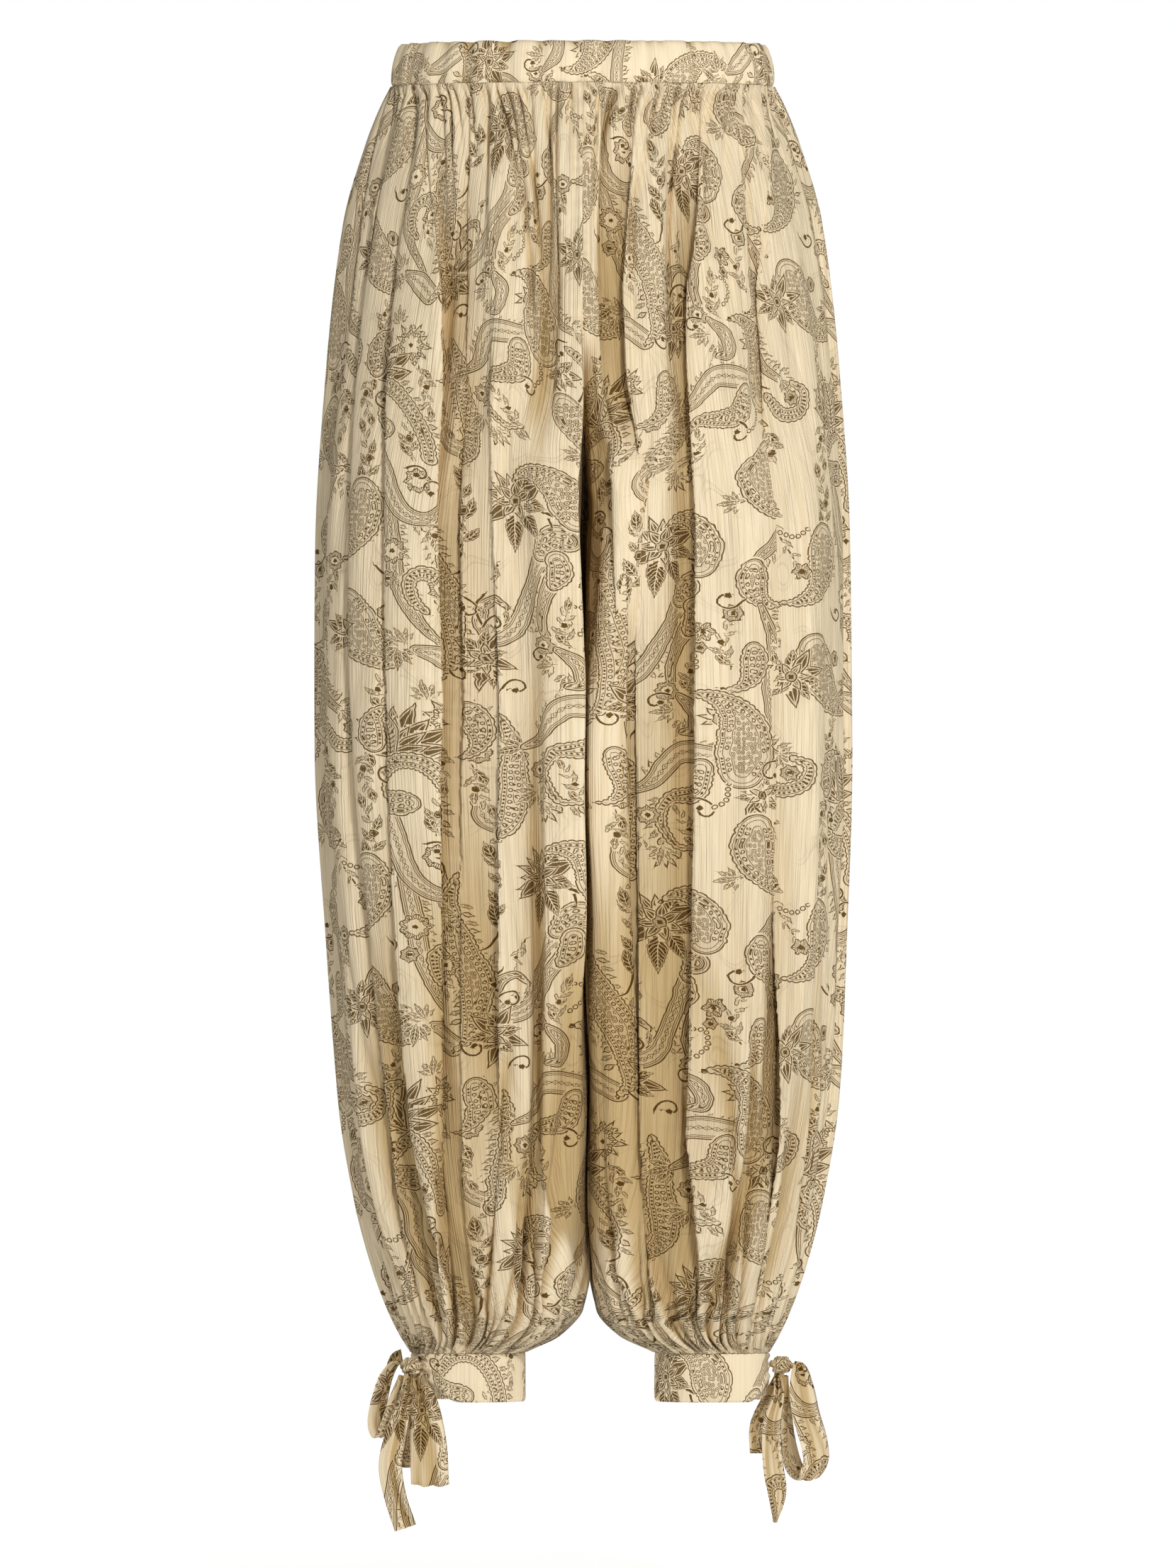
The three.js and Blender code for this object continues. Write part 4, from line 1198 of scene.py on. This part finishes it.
def ring_line(row, columns):
    """Points round a whole section, at even distances."""
    line = superellipse(row["centre"], row["half_width"], row["half_depth"], row["power"], 2 * math.pi,
                        columns * 8)
    return evenly(line, columns)


def ring_normals(line):
    wrapped = np.concatenate([line[-2:-1], line, line[1:2]])
    return outward_normals(wrapped)[1:-1]


def out_and_back(steps):
    """Shares of the way over the outside of a band, from edge to edge, and back over its inside,
    which is marked 1."""
    shares = np.linspace(0, 1, steps + 1)
    return [(part, 0) for part in shares] + [(part, 1) for part in shares[::-1]]


def waistband():
    """The casing, from the seam up over the top edge and down inside to the seam again."""
    dice = np.random.default_rng(5)
    columns = BAND["columns"]
    turn = np.arange(columns + 1) / columns
    place = (np.arange(BAND["folds"]) + 0.5 + 0.38 * dice.uniform(-1, 1, BAND["folds"])) / BAND["folds"]
    depth = BAND["fold_depth"] * dice.uniform(0.35, 1, BAND["folds"])
    width = dice.uniform(0.2, 0.42, BAND["folds"]) / BAND["folds"]
    lean = dice.uniform(-0.5, 0.5, BAND["folds"]) / BAND["folds"]
    points = []
    cloth = []
    painted_shade = []
    for i, (part, inside) in enumerate(out_and_back(BAND["rows"])):
        z = -WAISTBAND["half"] + 2 * WAISTBAND["half"] * part
        row = {
            "centre": 0,
            "half_width": WAISTBAND["hem_side"] + (WAISTBAND["top_side"] - WAISTBAND["hem_side"]) * part,
            "half_depth": WAISTBAND["hem_depth"] + (WAISTBAND["top_depth"] - WAISTBAND["hem_depth"]) * part,
            "power": BODY_POWER,
        }
        line = ring_line(row, columns)
        away = (turn[:, None] - place - lean * (part - 0.5) + 0.5) % 1 - 0.5
        pinch = (depth * np.exp(-((away / width) ** 2))).sum(1)
        # the folds are deepest at the upper edge and shallowest half way up
        edges = 0.35 + 0.65 * (2 * part - 1) ** 2 * (0.5 + 0.5 * part)
        round_edge = BAND["rounded"] * smoothstep(abs(2 * part - 1), 0.82, 1)
        bulge = BAND["bulge"] * (1 - (2 * part - 1) ** 2)
        if inside:
            sink = WAISTBAND["wall"] + pinch * edges - round_edge
        else:
            sink = pinch * edges + round_edge - bulge * (1 - 0.5 * pinch / BAND["fold_depth"])
        ring = line - ring_normals(line) * sink[:, None]
        up = i * BAND["cut_high"] / 2 / BAND["rows"]
        points.append(np.column_stack([ring[:, 0], ring[:, 1], z - BAND["dip"] * pinch * part]))
        # painted shade in the folds on the outside of the casing
        painted_shade.append(smoothstep(pinch * edges / BAND["fold_depth"], 0.2, 1) * (1 - inside))
        cloth.append(np.column_stack([turn * BAND["cut"], np.full(columns + 1, up)]))
    piece = grid_piece("waistband_casing", np.array(points), np.array(cloth), BAND_CHIFFON, "waistband",
                       BAND_PRINT, ring=True, painted_shade=np.array(painted_shade))

# ---------------------------------------------------------------- cuffs and ties

# Each bow: where its knot sits on the cuff, in degrees from the outer side towards the front, and
# its strips. A strip runs through its stations, measured from the middle of the knot: x, y, z,
# its width, and which way its width points, in degrees from +X to +Y.
BOWS = {
    "left": {
        "leftward": 1,
        "angle": 6,
        "strips": {
            "outer_loop": [
                (8, -3, 1, 6, 90), (14, -6, -2, 10, 72), (16, -9, -18, 15, 58), (19, -10, -37, 16, 52),
                (25, -8, -58, 16, 54), (26.5, -5, -74, 16, 66), (19, -1, -86, 16, 84), (10, 3, -78, 16, 102),
                (5, 6, -55, 15, 118), (4, 6, -30, 12, 122), (2, 4, -9, 7, 110),
            ],
            "long_end": [
                (-2, -4, -8, 7, 0), (-2, -9, -24, 9, 0), (-7, -11, -46, 14, 6), (-6, -11, -76, 16, 10),
                (-3, -10, -98, 14, 6), (-4.5, -10, -120, 3, 0),
            ],
            "short_end": [
                (-1, 7, -3, 8, -30), (-2, 20, -12, 9, -35), (-9, 34, -28, 12, -25), (-17, 38, -48, 13, -10),
                (-17, 38, -69, 13, -5),
            ],
        },
    },
    "right": {
        "leftward": -1,
        "angle": 38,
        "strips": {
            "outer_loop": [
                (-7, 4, 3, 6, 100), (-13, 8, 2, 10, 112), (-20, 10, -10, 15, 118), (-25, 9, -30, 16, 112),
                (-25, 5, -46, 16, 90), (-20, 0, -54, 16, 66), (-14, -4, -45, 15, 50), (-10, -5, -28, 12, 45),
                (-6, -3, -8, 6, 45),
            ],
            "inner_loop": [
                (5, -3, -8, 6, 0), (10, -10, -28, 14, 0), (13, -13, -58, 19, 0), (14, -9, -84, 20, 0),
                (14, -1, -90, 20, 0), (13, 5, -80, 19, 0), (9, 6, -52, 15, 0), (1.5, 4, -12, 7, 0),
            ],
            "long_end": [
                (-2, -6, -6, 7, 0), (-5, -17, -26, 11, 0), (-12, -19, -52, 16, 0), (-16, -17, -76, 18, 0),
                (-12, -14, -100, 17, 0), (-4.5, -12, -123, 17, 0),
            ],
            "short_end": [
                (-2, 7, -5, 7, 0), (-5, 13, -30, 9, 0), (-6, 13, -55, 12, 0), (-6, 13, -78, 12, 0),
            ],
        },
    },
}


def cuff_centre(leftward):
    """How far to the left of the waist's centre a cuff hangs."""
    return leftward * CUFF["centre"] + ANKLE_SWING


def knot_contact(bow):
    """Where the knot touches its cuff, and which way the cuff faces there."""
    turn = math.radians(bow["angle"])
    across = math.cos(turn) ** (2 / LEG_POWER)
    ahead = math.sin(turn) ** (2 / LEG_POWER)
    facing = np.array([
        bow["leftward"] * across ** (LEG_POWER - 1) / CUFF["half_width"],
        -(ahead ** (LEG_POWER - 1)) / CUFF["half_depth"],
    ])
    point = np.array([
        cuff_centre(bow["leftward"]) + bow["leftward"] * CUFF["half_width"] * across,
        -CUFF["half_depth"] * ahead,
    ])
    return point, facing / np.linalg.norm(facing)


def knot_middle(bow):
    """The middle of the knot, clear of the cuff by the gap of a seam."""
    point, facing = knot_contact(bow)
    reach = math.hypot(KNOT["half_width"] * facing[0], KNOT["half_depth"] * facing[1]) + SEAM_GAP
    return np.array([*(point + facing * reach), CUFF_TOP - KNOT["half_height"] - SEAM_GAP])


def cuff(side):
    """The band round an ankle, folded at its lower edge, which the tie draws up."""
    bow = BOWS[side]
    contact, _ = knot_contact(bow)
    dice = np.random.default_rng(7 + bow["leftward"])
    columns = 132
    rows = 18
    waves = [(dice.integers(5, 19), dice.uniform(0, 2 * math.pi), dice.uniform(0.1, 0.3)) for _ in range(6)]
    turn = np.arange(columns + 1) / columns
    wave = sum(size * np.sin(2 * math.pi * count * turn + phase) for count, phase, size in waves)
    line = ring_line({"centre": cuff_centre(bow["leftward"]), "half_width": CUFF["half_width"],
                      "half_depth": CUFF["half_depth"], "power": LEG_POWER}, columns)
    normal = ring_normals(line)
    near = 1 - smoothstep(np.hypot(*(line - contact).T), 0, CUFF_PULL["reach"])
    points = []
    cloth = []
    for i, (part, inside) in enumerate(out_and_back(rows)):
        edge = smoothstep(part, 0.93, 1) + 0.5 * smoothstep(1 - part, 0.93, 1)
        sink = (CUFF["wall"] - edge if inside else edge) + wave * (0.4 + 0.6 * part) * (1 - inside)
        # cloth that is drawn towards the knot lies in small folds
        pleat = near * 0.9 * np.sin(part * 5.5 * math.pi) * (1 - inside)
        z = CUFF_TOP - (CUFF["height"] - CUFF_PULL["rise"] * near) * part
        points.append(np.column_stack([line + normal * np.reshape(pleat - sink, (-1, 1)), z]))
        cloth.append(np.column_stack([turn * CUFF["cut"], np.full(columns + 1, i * CUFF["height"] / rows)]))
    piece = grid_piece(f"cuff_{side}_band", np.array(points), np.array(cloth), BAND_CHIFFON, f"cuff_{side}",
                       CUFF_PRINT[side], ring=True)


def knot(side):
    """The strip wound round the roots of the loops and ends, with a crease between its turns."""
    turn, rise = np.meshgrid(np.linspace(0, 2 * math.pi, 57), np.linspace(0, math.pi, 33), indexing="xy")
    wind = 5 * rise + BOWS[side]["leftward"] * 1.2 * np.sin(turn)
    crease = (0.2 * (0.5 + 0.5 * np.cos(1.3 * wind + 2 * turn)) ** 4
              + 0.1 * (0.5 + 0.5 * np.cos(3 * turn + wind)) ** 3)
    hollow_ends = 0.1 * np.cos(rise) ** 2
    radius = (1 - crease - hollow_ends) * np.sin(rise) ** 0.15
    points = np.stack([
        KNOT["half_width"] * radius * np.sin(rise) * np.cos(turn),
        KNOT["half_depth"] * radius * np.sin(rise) * np.sin(turn),
        KNOT["half_height"] * radius * np.cos(rise),
    ], -1) + knot_middle(BOWS[side])
    cloth = np.stack([turn, rise], -1) * KNOT["half_height"]
    # painted shade in the creases between the turns
    piece = grid_piece(f"tie_{side}_knot_wrap", points, cloth, TIE_CHIFFON, f"tie_{side}_knot",
                       KNOT_PRINT, ring=True, flip=True, painted_shade=np.clip(4 * crease, 0, 1))


# How thick a strip is, how high its middle stands over its edges, how finely it is made, and how
# many creases it has, which are deeper over some way from the knot.
STRIP = {"wall": 1.6, "camber": 3.2, "columns": 12, "step": 2.0, "creases": 5, "root": 26}
# How much broader a loop's cloth is than its solid, and what share of its solid's turn it makes.
LOOP_FULLER = 1.45
LOOP_FACING = 0.5


def beside_knot(station):
    """The same station, moved out to just clear of the knot."""
    place = np.array(station[:3], float)
    share = np.linalg.norm(place / (KNOT["half_width"], KNOT["half_depth"], KNOT["half_height"]))
    place *= 1 / share + KNOT_GAP / np.linalg.norm(place)
    return (*place, *station[3:])


def strip_path(route, is_loop):
    """Stations at even steps along a strip, which starts at the knot and as a loop ends there."""
    stations = [tuple(station) for station in route]
    stations[0] = beside_knot(stations[0])
    if is_loop:
        stations[-1] = beside_knot(stations[-1])
    stations = np.array(stations)
    path = catmull_rom(stations, int(round(travelled(stations[:, :3])[-1] / STRIP["step"])))
    if is_loop:
        path[:, 3] *= LOOP_FULLER
        path[:, 4] *= LOOP_FACING
    return path


def strip_frame(path):
    """Which way a strip's width and its face point at each of its stations."""
    travel = np.gradient(path[:, :3], axis=0)
    travel /= np.linalg.norm(travel, axis=1, keepdims=True)
    turn = np.radians(path[:, 4])
    across = np.stack([np.cos(turn), np.sin(turn), np.zeros_like(turn)], 1)
    across -= travel * (travel * across).sum(1, keepdims=True)
    across /= np.linalg.norm(across, axis=1, keepdims=True)
    return across, np.cross(travel, across)


def strip(side, name, route, seed):
    """A strip of doubled cloth with soft lengthwise creases."""
    dice = np.random.default_rng(seed)
    is_loop = name.endswith("loop")
    path = strip_path(route, is_loop)
    across, facing = strip_frame(path)
    along = travelled(path[:, :3])
    to_end = along[-1] - along
    places = np.linspace(-1, 1, STRIP["columns"] + 1)
    # over the face, back over the underside, and closed where it began
    layout = [(place, 0) for place in places] + [(place, 1) for place in places[-2:0:-1]] + [(places[0], 0)]
    near_knot = np.exp(-along / STRIP["root"]) + (np.exp(-to_end / STRIP["root"]) if is_loop else 0)
    creases = [(dice.uniform(-0.8, 0.8), dice.uniform(0.10, 0.22), dice.uniform(1.2, 3.2),
                dice.uniform(-0.35, 0.35)) for _ in range(STRIP["creases"])]
    # the free end is pressed shut
    pressed = 1 if is_loop else 0.2 + 0.8 * smoothstep(to_end, 0, 9)
    points = []
    painted_shade = []
    for place, under in layout:
        crease = sum(
            depth * np.exp(-((place - spot - sway * np.sin(along / 31 + spot * 9)) / wide) ** 2)
            for spot, wide, depth, sway in creases
        )
        thick = STRIP["wall"] * (1 - 0.75 * place ** 8) * pressed
        raised = STRIP["camber"] * (1 - place ** 2) - crease * (0.35 + 1.3 * near_knot) - under * thick
        aside = place * path[:, 3] / 2
        points.append(path[:, :3] + across * aside[:, None] + facing * np.reshape(raised, (-1, 1)))
        # painted shade in the creases and near the knot
        painted_shade.append(np.clip(crease / 3 + 0.8 * near_knot ** 2, 0, 1))
    points = np.array(points).transpose(1, 0, 2) + knot_middle(BOWS[side])
    wide = float(path[:, 3].max())
    round_cut = travelled(np.array([(place * wide / 2, -STRIP["wall"] * under) for place, under in layout]))
    cloth = np.stack(np.meshgrid(round_cut, along, indexing="xy"), -1)
    piece = grid_piece(f"tie_{side}_{name}_cloth", points, cloth, TIE_CHIFFON, f"tie_{side}_{name}",
                       (STRIP_PRINT[0] + 9 * seed, STRIP_PRINT[1]), painted_shade=np.array(painted_shade).T)
    float(round_cut[-1] * path[:, 3].mean() / wide) * MM


# ---------------------------------------------------------------- the whole garment

# Each leg panel: whether it is the wearer's left or right one, 1 or -1, whether it is at the front
# or the back, 1 or -1, and the seed of its small folds.
PANELS = {
    "front_left_leg": (1, 1, 11),
    "front_right_leg": (-1, 1, 23),
    "back_left_leg": (1, -1, 37),
    "back_right_leg": (-1, -1, 41),
}
STRIP_SEEDS = {"left": 50, "right": 60}

waistband()
for bow_side in BOWS:
    cuff(bow_side)
    knot(bow_side)
    for order, (strip_name, strip_route) in enumerate(BOWS[bow_side]["strips"].items()):
        strip(bow_side, strip_name, strip_route, STRIP_SEEDS[bow_side] + order)
for panel_name, panel_values in PANELS.items():
    leg_panel(panel_name, *panel_values)
